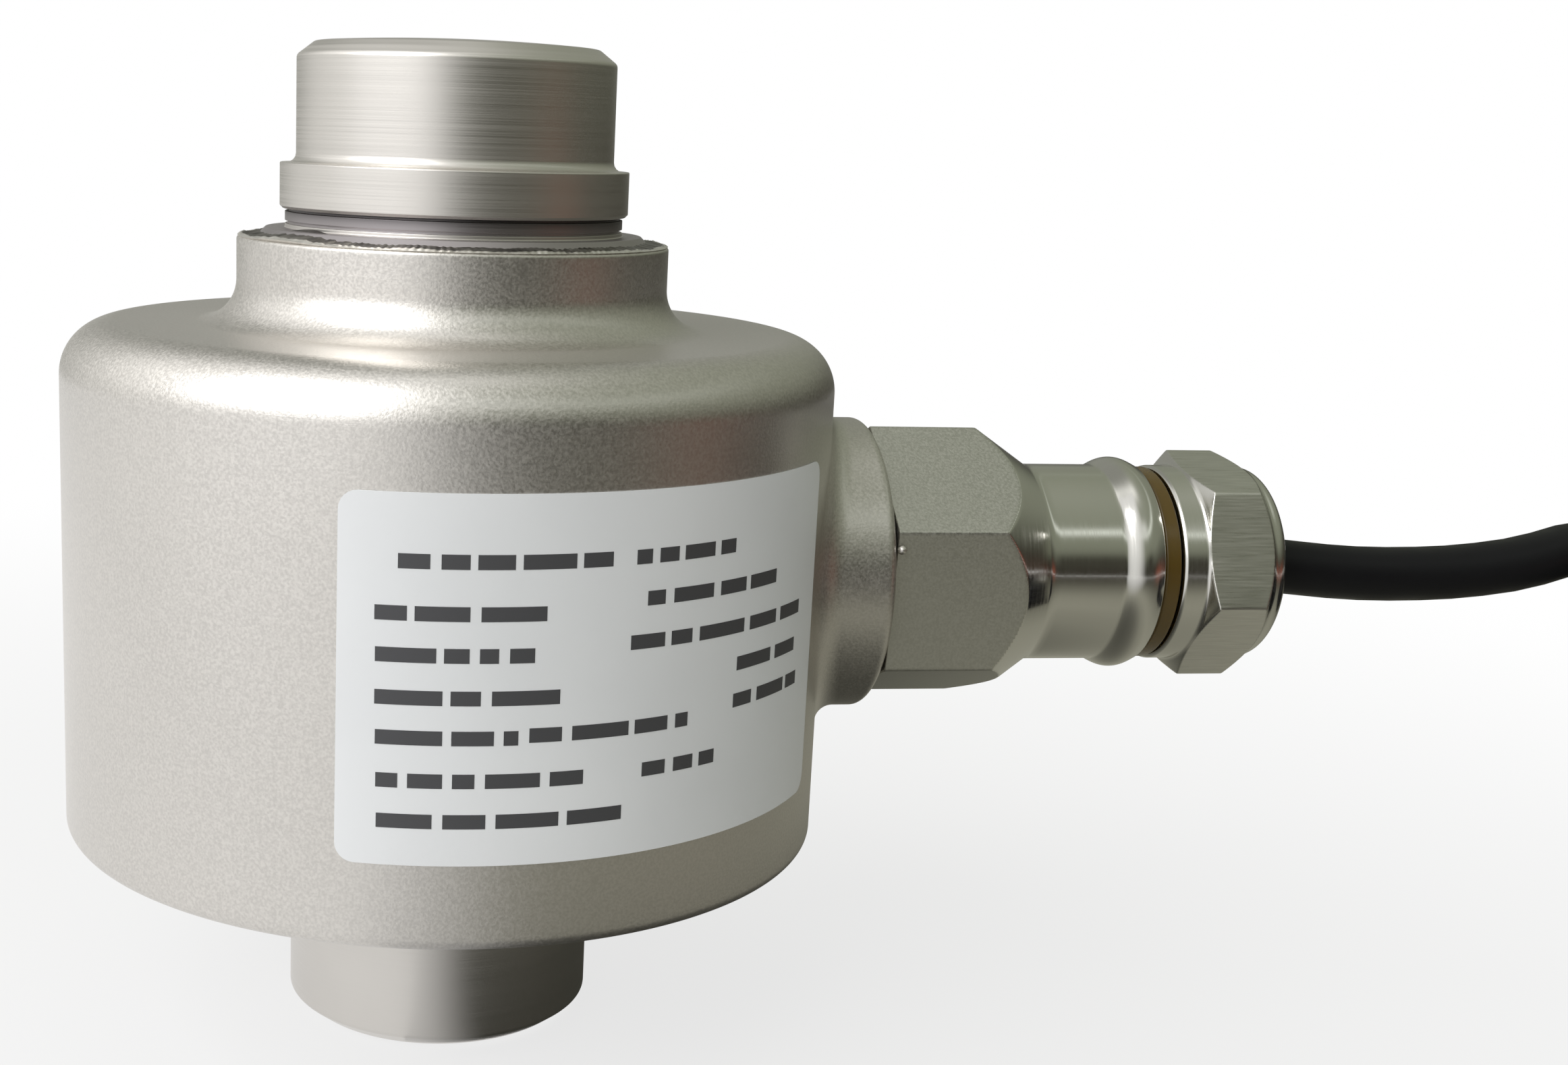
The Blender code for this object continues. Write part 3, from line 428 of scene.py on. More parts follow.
class Tree:
    """A Geometry Nodes tree with named inputs and short ways to add nodes to it."""

    kinds = {float: "NodeSocketFloat", int: "NodeSocketInt"}

    def __init__(self, name, **inputs):
        self.group = bpy.data.node_groups.new(name, "GeometryNodeTree")
        sockets = self.group.interface
        sockets.new_socket("Geometry", in_out="INPUT", socket_type="NodeSocketGeometry")
        for label, value in inputs.items():
            kind = self.kinds.get(type(value), "NodeSocketMaterial")
            sockets.new_socket(label, in_out="INPUT", socket_type=kind)
        sockets.new_socket("Geometry", in_out="OUTPUT", socket_type="NodeSocketGeometry")
        self.values = inputs
        self.given = self.group.nodes.new("NodeGroupInput").outputs

    def node(self, kind, *links, out=0, **settings):
        """A node whose first inputs take links or values; settings are its own properties."""
        made = self.group.nodes.new(kind)
        for name, value in settings.items():
            setattr(made, name, value)
        sockets = [socket for socket in made.inputs if socket.enabled]
        for socket, value in zip(sockets, links):
            fill(self.group, socket, value)
        return made.outputs[out] if out is not None else made

    def feed(self, node, **inputs):
        """Links or values for a node's inputs, by their names."""
        for name, value in inputs.items():
            fill(self.group, node.inputs[name], value)
        return node.outputs[0]

    def math(self, operation, *links):
        return self.node("ShaderNodeMath", *links, operation=operation)

    def vector(self, *links):
        return self.node("ShaderNodeCombineXYZ", *links)

    def spots(self, curve, spacing):
        """Points at a spacing along a curve, and the way that each one faces."""
        made = self.node("GeometryNodeCurveToPoints", curve, out=None, mode="LENGTH")
        self.feed(made, Length=spacing)
        return made.outputs["Points"], made.outputs["Rotation"]

    def instances(self, **inputs):
        return self.feed(self.node("GeometryNodeInstanceOnPoints", out=None), **inputs)

    def transform(self, geometry, **inputs):
        return self.feed(self.node("GeometryNodeTransform", geometry, out=None), **inputs)

    def join(self, *parts):
        joined = self.node("GeometryNodeJoinGeometry", out=None)
        for part in parts:
            self.group.links.new(part, joined.inputs[0])
        return joined.outputs[0]

    def finish(self, geometry):
        """Realized instances with the tree's material go to its output."""
        real = self.node("GeometryNodeRealizeInstances", geometry)
        dressed = self.feed(self.node("GeometryNodeSetMaterial", real, out=None), Material=self.given["Finish"])
        self.group.links.new(dressed, self.group.nodes.new("NodeGroupOutput").inputs[0])

    def bake(self, name, start):
        """The tree's result on a start mesh, as a plain object."""
        holder = put(name + "_start", start)
        modifier = holder.modifiers.new("tree", "NODES")
        modifier.node_group = self.group
        for item in self.group.interface.items_tree:
            if item.in_out == "INPUT" and item.name in self.values:
                modifier[item.identifier] = self.values[item.name]
        holder.update_tag()
        graph = bpy.context.evaluated_depsgraph_get()
        data = bpy.data.meshes.new_from_object(holder.evaluated_get(graph))
        holder.modifiers.clear()
        bpy.data.objects.remove(holder)
        data.name = name
        return put(name, data)


def points_mesh(name, points, **attributes):
    """A mesh of loose points that carry named numbers."""
    data = bpy.data.meshes.new(name)
    data.from_pydata([tuple(point) for point in points], [], [])
    for label, numbers in attributes.items():
        layer = data.attributes.new(label, "FLOAT", "POINT")
        layer.data.foreach_set("value", np.array(numbers, np.float32))
    return data


def bars_tree(ink):
    """Bars on the label: each point of the start mesh, measured across and up the flat label, gets a bar of its own
    length, and all of them are bent round the housing."""
    tree = Tree(
        "print_bars",
        **{
            "Housing Radius": float(SHELL_RADIUS),
            "Left Edge": math.radians(LABEL_LEFT_DEG),
            "Label Bottom": float(LABEL_BOTTOM),
            "Bar Height": BAR_HEIGHT,
            "Bar Thickness": BAR_THICKNESS,
            "Lift": LABEL_LIFT + LABEL_THICKNESS + BAR_THICKNESS / 2,
            "Finish": ink,
        },
    )
    given = tree.given
    bar = tree.node("GeometryNodeMeshCube", (1, 1, 1), 12, 2, 2)
    length = tree.node("GeometryNodeInputNamedAttribute", "bar_length", data_type="FLOAT")
    size = tree.vector(length, given["Bar Height"], given["Bar Thickness"])
    placed = tree.instances(Points=given["Geometry"], Instance=bar, Scale=size)
    real = tree.node("GeometryNodeRealizeInstances", placed)
    flat = tree.node("ShaderNodeSeparateXYZ", tree.node("GeometryNodeInputPosition"), out=None).outputs
    angle = tree.math("ADD", given["Left Edge"], tree.math("DIVIDE", flat[0], given["Housing Radius"]))
    reach = tree.math("ADD", tree.math("ADD", given["Housing Radius"], given["Lift"]), flat[2])
    bent = tree.vector(
        tree.math("MULTIPLY", reach, tree.math("COSINE", angle)),
        tree.math("MULTIPLY", reach, tree.math("SINE", angle)),
        tree.math("ADD", given["Label Bottom"], flat[1]),
    )
    tree.finish(tree.feed(tree.node("GeometryNodeSetPosition", out=None), Geometry=real, Position=bent))
    return tree


def seam_tree(metal, radius, height, bead):
    """A round weld seam: a bead along a circle, covered by overlapping ripples of slightly uneven size."""
    tree = Tree(
        "round_seam",
        **{
            "Seam Radius": float(radius),
            "Seam Height": float(height),
            "Bead Radius": float(bead),
            "Ripple Spacing": float(bead * 1.5),
            "Finish": metal,
        },
    )
    given = tree.given
    core_radius = tree.math("MULTIPLY", given["Bead Radius"], 0.86)
    circle, section = (
        tree.feed(tree.node("GeometryNodeCurvePrimitiveCircle", sides, out=None), Radius=reach)
        for sides, reach in ((256, given["Seam Radius"]), (12, core_radius))
    )
    core = tree.node("GeometryNodeCurveToMesh", circle, section)
    points, facing = tree.spots(circle, given["Ripple Spacing"])
    ball = tree.node("GeometryNodeMeshUVSphere", 8, 5, 1.0)
    uneven = tree.node("FunctionNodeRandomValue", 0.9, 1.08, out=None, data_type="FLOAT")
    uneven.inputs["Seed"].default_value = 7
    value = next(socket for socket in uneven.outputs if socket.enabled)
    size = tree.math("MULTIPLY", value, given["Bead Radius"])
    flattened = tree.vector(size, size, tree.math("MULTIPLY", size, 0.9))
    ripples = tree.instances(Points=points, Instance=ball, Rotation=facing, Scale=flattened)
    seam = tree.join(ripples, core)
    tree.finish(tree.transform(seam, Translation=tree.vector(0.0, 0.0, given["Seam Height"])))
    return tree


def tie_tree(plastic, degrees):
    """A cable tie from its closed flat outline: a strap with soft edges and fine ribs across its outside."""
    tree = Tree(
        "ribbed_tie",
        **{
            "Strap Width": TIE_WIDTH,
            "Strap Thickness": TIE_THICKNESS,
            "Rib Spacing": TIE_RIB_SPACING,
            "Turn": math.radians(degrees),
            "Centre X": float(COIL_X),
            "Centre Y": float(COIL_Y),
            "Finish": plastic,
        },
    )
    given = tree.given
    loop = tree.node("GeometryNodeMeshToCurve", given["Geometry"])
    upright = tree.node("GeometryNodeSetCurveNormal", loop, mode="Z_UP")
    section = tree.feed(
        tree.node("GeometryNodeCurvePrimitiveQuadrilateral", out=None),
        Width=tree.math("MULTIPLY", given["Strap Thickness"], 0.8),
        Height=given["Strap Width"],
    )
    soft = tree.feed(tree.node("GeometryNodeFilletCurve", section, out=None), Radius=TIE_THICKNESS * 0.25)
    strap = tree.node("GeometryNodeCurveToMesh", upright, soft)
    points, facing = tree.spots(upright, given["Rib Spacing"])
    rib = tree.node("GeometryNodeMeshCube", (1, 1, 1), 2, 2, 2)
    size = tree.vector(
        tree.math("MULTIPLY", given["Strap Thickness"], 0.98),
        tree.math("MULTIPLY", given["Strap Width"], 0.62),
        tree.math("MULTIPLY", given["Rib Spacing"], 0.5),
    )
    tie = tree.join(tree.instances(Points=points, Instance=rib, Rotation=facing, Scale=size), strap)
    standing = tree.transform(tie, Rotation=(math.pi / 2, 0, 0))
    centre = tree.vector(given["Centre X"], given["Centre Y"], 0.0)
    tree.finish(tree.transform(standing, Translation=centre, Rotation=tree.vector(0.0, 0.0, given["Turn"])))
    return tree


# Materials


class Shader:
    """A Principled material and short ways to add nodes to it."""

    def __init__(self, name, colour, metallic, roughness):
        self.material = bpy.data.materials.new(name)
        self.material.use_nodes = True
        self.tree = self.material.node_tree
        self.surface = self.tree.nodes["Principled BSDF"]
        self.set(self.surface, **{"Base Color": (*colour, 1), "Metallic": metallic, "Roughness": roughness})

    def set(self, node, **values):
        for name, value in values.items():
            fill(self.tree, node.inputs[name], value)
        return node

    def node(self, kind, **values):
        made = self.tree.nodes.new("ShaderNode" + kind)
        return self.set(made, **values)

    def look(self, **values):
        """Links or values for the surface's own sockets, with underscores for their spaces."""
        self.set(self.surface, **{name.replace("_", " "): value for name, value in values.items()})

    def axes(self):
        """Object coordinates, as three numbers."""
        return self.node("SeparateXYZ", Vector=self.node("TexCoord").outputs["Object"]).outputs

    def place(self, scale):
        return self.node("Mapping", Vector=self.node("TexCoord").outputs["Object"], Scale=scale).outputs["Vector"]

    def noise(self, scale, detail=2.0, stretch=(1, 1, 1), roughness=0.5, vector=None):
        place = vector or self.place(stretch)
        return self.node("TexNoise", Vector=place, Scale=scale, Detail=detail, Roughness=roughness).outputs["Fac"]

    def range(self, value, low_in, high_in, low_out, high_out, smooth=False):
        made = self.node("MapRange", Value=value)
        made.interpolation_type = "SMOOTHSTEP" if smooth else "LINEAR"
        for name, number in zip(("From Min", "From Max", "To Min", "To Max"), (low_in, high_in, low_out, high_out)):
            made.inputs[name].default_value = number
        return made.outputs["Result"]

    def math(self, operation, first, second=0.0):
        made = self.node("Math")
        made.operation = operation
        for socket, value in zip(made.inputs, (first, second)):
            fill(self.tree, socket, value)
        return made.outputs[0]

    def length(self, across, up):
        """How far a point lies from an axis."""
        squares = self.math("ADD", self.math("MULTIPLY", across, across), self.math("MULTIPLY", up, up))
        return self.math("SQRT", squares)

    def uneven_roughness(self, pattern, roughness):
        self.look(Roughness=self.range(pattern, 0.3, 0.7, roughness - 0.05, roughness + 0.06))

    def vary(self, pattern, first, second):
        """From one colour to another over the middle of a noise."""
        return self.mix(self.range(pattern, 0.3, 0.7, 0.0, 1.0), first, second)

    def mix(self, share, first, second):
        made = self.node("Mix")
        made.data_type = "RGBA"
        for socket, value in zip((made.inputs[0], made.inputs[6], made.inputs[7]), (share, first, second)):
            fill(self.tree, socket, (*value, 1) if isinstance(value, tuple) else value)
        return made.outputs[2]

    def bump(self, height, distance, strength=1.0, normal=None):
        made = self.node("Bump", Height=height, Strength=strength, Distance=distance)
        if normal is not None:
            self.set(made, Normal=normal)
        self.look(Normal=made.outputs["Normal"])
        return made.outputs["Normal"]


def shade(colour, share):
    """A colour made darker or paler."""
    return tuple(min(1.0, part * share) for part in colour)


def blasted_steel(name, colour, roughness):
    """Bead blasted stainless steel: fine grain, slight clouding and a few faint rubbed lines round the axis."""
    shader = Shader(name, colour, 1.0, roughness)
    grain = shader.noise(3600.0, 2.0)
    clouded = shader.vary(shader.noise(28.0, 3.0), shade(colour, 0.95), shade(colour, 1.05))
    speck = shader.range(grain, 0.35, 0.65, 0.0, 1.0)
    grained = shader.mix(speck, shade(colour, 0.80), shade(colour, 1.12))
    shader.look(Base_Color=shader.mix(0.45, clouded, grained))
    shader.uneven_roughness(grain, roughness)
    first = shader.bump(grain, 0.035 * MM, 0.55)
    rubbed = shader.noise(1.0, 2.0, stretch=(60, 60, 2600), roughness=0.6)
    lines = shader.range(rubbed, 0.62, 0.70, 0.0, 1.0)
    shader.bump(lines, 0.01 * MM, 0.25, first)
    return shader.material


def turned_steel(name, colour, roughness, line_depth, axis="Z", painted_shade_heights=None):
    """Machined steel with fine lines round its axis, on the side and on the faces. It may carry painted shade, growing
    darker from one height up to another."""
    shader = Shader(name, colour, 1.0, roughness)
    x, y, z = shader.axes()
    if axis == "Z":
        across, up, along = x, y, z
    else:
        across, up, along = y, shader.math("SUBTRACT", z, float(GLAND_HEIGHT)), x
    rings = shader.node(
        "CombineXYZ",
        X=shader.math("MULTIPLY", across, 6.0),
        Y=shader.math("MULTIPLY", up, 6.0),
        Z=shader.math("MULTIPLY", shader.math("ADD", shader.length(across, up), along), 2600.0),
    ).outputs[0]
    fine = shader.noise(4.0, 2.0, vector=rings)
    coarse = shader.noise(1.1, 1.0, vector=rings)
    shader.uneven_roughness(fine, roughness)
    lit = shader.vary(shader.noise(40.0, 3.0), shade(colour, 0.96), shade(colour, 1.04))
    # painted shade: from the lower height up to the higher one the colour is mixed towards 0.12 of itself
    if painted_shade_heights:
        dark = shader.range(z, *painted_shade_heights, 0.0, 1.0)
        lit = shader.mix(shader.math("POWER", dark, 1.6), lit, shade(colour, 0.12))
    shader.look(Base_Color=lit)
    first = shader.bump(fine, line_depth, 0.6)
    shader.bump(coarse, line_depth, 0.3, first)
    return shader.material


def milled_steel(name, colour, roughness):
    """Flats with fine straight lines along the gland."""
    shader = Shader(name, colour, 1.0, roughness)
    lines = shader.noise(1.0, 2.0, stretch=(260, 5200, 5200))
    shader.uneven_roughness(lines, roughness)
    shader.look(Base_Color=shader.vary(lines, shade(colour, 0.9), shade(colour, 1.08)))
    shader.bump(lines, 0.003 * MM, 0.4)
    return shader.material


def weld_steel(name, lip_radius=0.0):
    """Dark, rough weld metal, with a bright ragged lip outside the given radius round the load axis."""
    shader = Shader(name, (0.30, 0.28, 0.25), 1.0, 0.42)
    tint = shader.noise(700.0, 3.0)
    lit = shader.vary(tint, (0.08, 0.075, 0.065), (0.24, 0.23, 0.21))
    if lip_radius:
        x, y, _ = shader.axes()
        ragged = shader.math("MULTIPLY", shader.noise(380.0, 3.0), 0.9 * MM)
        radius = shader.math("ADD", shader.length(x, y), ragged)
        lip = shader.range(radius, lip_radius + 0.38 * MM, lip_radius + 0.55 * MM, 0.0, 1.0)
        lit = shader.mix(lip, lit, (0.70, 0.68, 0.64))
    shader.look(Base_Color=lit, Roughness=shader.range(tint, 0.3, 0.7, 0.3, 0.5))
    shader.bump(shader.noise(1500.0, 3.0), 0.04 * MM, 0.6)
    return shader.material


def plain(name, colour, roughness, grain=0.0, metallic=0.0):
    """A plain finish with an optional fine grain."""
    shader = Shader(name, colour, metallic, roughness)
    if grain:
        shader.bump(shader.noise(1500.0, 2.0), grain, 0.5)
    return shader.material


def label_silver(name):
    """Matt silver film, smooth with a very fine tooth."""
    shader = Shader(name, (0.80, 0.81, 0.83), 0.0, 0.36)
    shader.look(Specular_IOR_Level=0.5, Coat_Weight=0.12, Coat_Roughness=0.32)
    shader.look(Base_Color=shader.vary(shader.noise(45.0, 3.0), (0.77, 0.78, 0.80), (0.82, 0.83, 0.85)))
    shader.bump(shader.noise(2400.0, 2.0), 0.01 * MM, 0.35)
    return shader.material


def seal_amber(name):
    """Dark amber rubber that lets a little light in."""
    shader = Shader(name, (0.085, 0.052, 0.009), 0.0, 0.24)
    shader.look(Subsurface_Weight=0.25, Subsurface_Radius=(1, 0.6, 0.2), Subsurface_Scale=0.6 * MM)
    shader.bump(shader.noise(900.0, 2.0), 0.03 * MM, 0.4)
    return shader.material


def jacket_black(name):
    """The cable's smooth black jacket."""
    shader = Shader(name, (0.008, 0.008, 0.009), 0.0, 0.34)
    rough = shader.range(shader.noise(260.0, 3.0), 0.3, 0.7, 0.32, 0.46)
    shader.look(Specular_IOR_Level=0.14, Roughness=rough)
    shader.bump(shader.noise(1700.0, 2.0), 0.012 * MM, 0.4)
    return shader.material


def make_materials():
    """Every finish by its name."""
    steel, fine_steel = (0.66, 0.635, 0.60), (0.66, 0.65, 0.61)
    # heights between which the collar is painted darker towards the band, as painted shade
    painted_shade_heights = (BAND_BOTTOM - PAINTED_SHADE_HEIGHT, BAND_BOTTOM)
    recipes = {
        "steel_turned": (turned_steel, steel, 0.35, 0.0014 * MM),
        # painted shade: a darker copy of the turned steel, for the collar under the band and the flange's edge
        "steel_tinted": (turned_steel, (0.37, 0.345, 0.35), 0.36, 0.0012 * MM, "Z", painted_shade_heights),
        "steel_blasted": (blasted_steel, steel, 0.36),
        "gland_blasted": (blasted_steel, (0.55, 0.545, 0.50), 0.40),
        "gland_turned": (turned_steel, fine_steel, 0.13, 0.0012 * MM, "X"),
        "nut_milled": (milled_steel, (0.62, 0.61, 0.57), 0.32),
        "steel_weld": (weld_steel,),
        "neck_bead": (weld_steel, LIP_RADIUS),
        "steel_polished": (turned_steel, fine_steel, 0.16, 0.0015 * MM, "X"),
        "label_silver": (label_silver,),
        "label_ink": (plain, (0.06, 0.06, 0.065), 0.5, 0.01 * MM),
        "rubber_black": (plain, (0.02, 0.02, 0.02), 0.6, 0.02 * MM),
        "seal_amber": (seal_amber,),
        "jacket_black": (jacket_black,),
        "board_green": (plain, (0.04, 0.16, 0.07), 0.45),
        "resistor_body": (plain, (0.35, 0.45, 0.55), 0.35),
        "gauge_foil": (plain, (0.65, 0.45, 0.2), 0.3, 0.0, 0.3),
        "tie_black": (plain, (0.03, 0.03, 0.032), 0.45, 0.02 * MM),
        "core_red": (plain, (0.45, 0.02, 0.02), 0.4),
        "core_black": (plain, (0.02, 0.02, 0.02), 0.4),
        "core_green": (plain, (0.02, 0.22, 0.06), 0.4),
        "core_white": (plain, (0.8, 0.8, 0.78), 0.4),
    }
    return {name: finish(name, *values) for name, (finish, *values) in recipes.items()}


def dress_solids(materials):
    """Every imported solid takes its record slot's finish, also those that a finer piece will stand for."""
    for part in frame["record"]["subparts"]:
        solid = frame["nodes"][part["node"]]
        solid.data.materials.clear()
        solid.data.materials.append(materials[part["material_slot"]])


# Column


def crown(end, inward):
    """A load face's small middle flat and the crown round it, nearly out to its chamfer."""
    sphere = (CROWN_RADIUS**2 - CENTRE_FLAT_RADIUS**2) / (2 * CROWN_RISE)
    points = [(0, end), (CENTRE_FLAT_RADIUS, end)]
    for share in np.linspace(0.1, 0.93, 12):
        radius = CENTRE_FLAT_RADIUS + (CROWN_RADIUS - CENTRE_FLAT_RADIUS) * share
        points.append((radius, end + inward * (radius**2 - CENTRE_FLAT_RADIUS**2) / (2 * sphere)))
    return points


def make_column(materials):
    crown_side = CROWN_RISE + BUTTON_CHAMFER_HEIGHT
    groove = COLLAR_RADIUS - GROOVE_DEPTH
    recess = COLLAR_RADIUS - RECESS_DEPTH
    crown_point = (CROWN_RADIUS - 0.7 * MM, CROWN_RISE - 0.052 * MM)  # the last one before the softened chamfer
    corners = [
        (*crown_point, 0),
        (CROWN_RADIUS, CROWN_RISE, 0.5 * MM),
        (BUTTON_RADIUS, crown_side, 0.6 * MM),
        (BUTTON_RADIUS, PLATE_BOTTOM, 0.2 * MM),
        (BASE_FLANGE_RADIUS, PLATE_BOTTOM, 0.2 * MM),
        (BASE_FLANGE_RADIUS, PLATE_TOP, 0.2 * MM),
        (BUTTON_RADIUS, PLATE_TOP, 0.2 * MM),
        (BUTTON_RADIUS, BOARD_SEAT_HEIGHT, 0),
        (WAIST_RADIUS, WAIST_BOTTOM, 0),
        (WAIST_RADIUS, WAIST_TOP, 0),
        (FLANGE_RADIUS, FLANGE_TOP - FLANGE_THICKNESS, 0),
        (FLANGE_RADIUS, FLANGE_TOP - FLANGE_CHAMFER, 0.15 * MM),
        (FLANGE_RADIUS - FLANGE_CHAMFER, FLANGE_TOP, 0.15 * MM),
        (COLLAR_RADIUS, FLANGE_TOP, 0.1 * MM),
        (COLLAR_RADIUS, FLANGE_TOP + GROOVE_BOTTOM, 0.05 * MM),
        (groove, FLANGE_TOP + GROOVE_BOTTOM, 0.05 * MM),
        (groove, FLANGE_TOP + GROOVE_TOP, 0.05 * MM),
        (COLLAR_RADIUS, FLANGE_TOP + GROOVE_TOP, 0.05 * MM),
        (COLLAR_RADIUS, BAND_BOTTOM - RECESS_HEIGHT, 0.04 * MM),
        (recess, BAND_BOTTOM - RECESS_HEIGHT + 0.03 * MM, 0.04 * MM),
        (recess, BAND_BOTTOM - 0.01 * MM, 0.04 * MM),
        (BAND_RADIUS - BAND_CHAMFER, BAND_BOTTOM, 0.1 * MM),
        (BAND_RADIUS, BAND_BOTTOM + BAND_CHAMFER, 0.1 * MM),
        (BAND_RADIUS, BAND_TOP, 0.12 * MM),
        (BUTTON_RADIUS, BAND_TOP, BAND_COVE),
        (BUTTON_RADIUS, COLUMN_TOP - crown_side, 0.6 * MM),
        (CROWN_RADIUS, COLUMN_TOP - CROWN_RISE, 0.5 * MM),
        (crown_point[0], COLUMN_TOP - crown_point[1], 0),
    ]
    outline = crown(0, 1) + soften(corners, support=0.08 * MM) + list(reversed(crown(COLUMN_TOP, -1)))
    column = revolve("column", outline, materials["steel_turned"], steps=320)
    # the collar and the flange's edge take the darker steel of painted shade
    column.data.materials.append(materials["steel_tinted"])
    for face in column.data.polygons:
        height = face.center.z
        on_collar = FLANGE_TOP + GROOVE_BOTTOM < height - 0.02 * MM and height < BAND_BOTTOM - 0.02 * MM
        on_flange = FLANGE_TOP - PAINTED_SHADE_HEIGHT < height < FLANGE_TOP + 0.01 * MM
        face.material_index = int(on_collar or on_flange)
    keep(column, "load_column", slot="steel_turned")


# Housing


def make_housing(materials):
    inner_radius = SHELL_RADIUS - SHELL_WALL
    neck_inner = NECK_RADIUS - SHELL_WALL
    fillet_centre = (NECK_RADIUS + NECK_FILLET, SHELL_TOP + NECK_FILLET)
    shoulder_centre = (SHELL_RADIUS - SHOULDER_RADIUS, SHELL_TOP - SHOULDER_RADIUS)
    edge_centre = (SHELL_RADIUS - BOTTOM_EDGE_RADIUS, SHELL_BOTTOM + BOTTOM_EDGE_RADIUS)
    outline = [(neck_inner, NECK_TOP)]
    outline += arc((NECK_RADIUS - 0.35 * MM, NECK_TOP - 0.35 * MM), 0.35 * MM, 90, 0, 5)
    outline += [(NECK_RADIUS, NECK_TOP - 0.6 * MM), (NECK_RADIUS, SHELL_TOP + NECK_FILLET + 0.3 * MM)]
    outline += arc(fillet_centre, NECK_FILLET, 180, 270, 24)
    outline += [(fillet_centre[0] + 0.4 * MM, SHELL_TOP), (shoulder_centre[0] - 0.4 * MM, SHELL_TOP)]
    outline += arc(shoulder_centre, SHOULDER_RADIUS, 90, 0, 30)
    outline += [(SHELL_RADIUS, shoulder_centre[1] - 0.5 * MM), (SHELL_RADIUS, edge_centre[1] + 0.5 * MM)]
    outline += arc(edge_centre, BOTTOM_EDGE_RADIUS, 0, -90, 10)
    outline += [(inner_radius, SHELL_BOTTOM), (inner_radius, shoulder_centre[1])]
    outline += arc(shoulder_centre, SHOULDER_RADIUS - SHELL_WALL, 10, 90, 8)
    outline += arc(fillet_centre, NECK_FILLET + SHELL_WALL, 270, 180, 8)
    shell = revolve("housing", outline, materials["steel_blasted"], steps=360)
    keep(shell, "housing_shell", slot="steel_blasted")


def shell_side(across):
    """How far out along +X the housing's side lies, at a distance across."""
    return np.sqrt(SHELL_RADIUS**2 - across**2)


def make_boss(materials):
    """The side boss, run into the housing by its blasted fillet weld."""
    steps = 240
    angles = np.linspace(0, 2 * math.pi, steps, endpoint=False)
    rings = []

    def ring(radius, distance):
        across, up = radius * np.cos(angles), radius * np.sin(angles)
        along = shell_side(across) + distance if distance < BOSS_FOOT_HEIGHT else np.full(steps, distance)
        rings.append(np.stack([along, across, GLAND_HEIGHT + up], axis=1))

    leg = BOSS_WELD_LEG
    ring(BOSS_RADIUS + leg + 0.5 * MM, -0.25 * MM)
    ring(BOSS_RADIUS + leg + 0.15 * MM, -0.01 * MM)
    for turn in np.linspace(0, 90, 13):
        radius = BOSS_RADIUS + leg * (1 - math.sin(math.radians(turn)))
        ring(radius, leg * (1 - math.cos(math.radians(turn))) + 0.004 * MM)
    edge = (BOSS_RADIUS - BOSS_EDGE_RADIUS, BOSS_END - BOSS_EDGE_RADIUS)
    ring(BOSS_RADIUS, edge[1] - 0.2 * MM)
    for radius, distance in arc(edge, BOSS_EDGE_RADIUS, 0, 90, 12):
        ring(radius, distance)
    ring(edge[0] - 0.3 * MM, BOSS_END)
    bore = SPIGOT_RADIUS + TOUCH_GAP
    recess, recess_floor = high("gland_washer", 2) - GLAND_HEIGHT + TOUCH_GAP, low("gland_washer", 0) - TOUCH_GAP
    ring(recess, BOSS_END)
    ring(recess, recess_floor)
    ring(bore, recess_floor)
    ring(bore, -0.5 * MM)
    boss = object_of("boss", skin(rings), materials["steel_blasted"])
    keep(boss, "side_boss", "boss_weld", slot="steel_blasted")

    tack = bmesh.new()
    bmesh.ops.create_icosphere(tack, subdivisions=3, radius=TACK_RADIUS)
    for vertex in tack.verts:
        vertex.co *= 1 + 0.12 * math.sin(2600 * vertex.co.x + 1) * math.cos(3100 * vertex.co.z)
    bmesh.ops.translate(tack, verts=tack.verts, vec=TACK_PLACE)
    keep(object_of("tack_weld", tack, materials["steel_blasted"]), slot="steel_weld")


def waves(angles, seed, count, reach):
    """A smooth uneven line round a circle: sines of rising pitch with seeded phases, between about -1 and 1."""
    chance = np.random.default_rng(seed)
    total = np.zeros_like(angles)
    for _ in range(count):
        pitch = int(chance.integers(1, reach))
        total += chance.uniform(0.4, 1.0) * np.sin(pitch * angles + chance.uniform(0, 2 * math.pi))
    return total / math.sqrt(count)


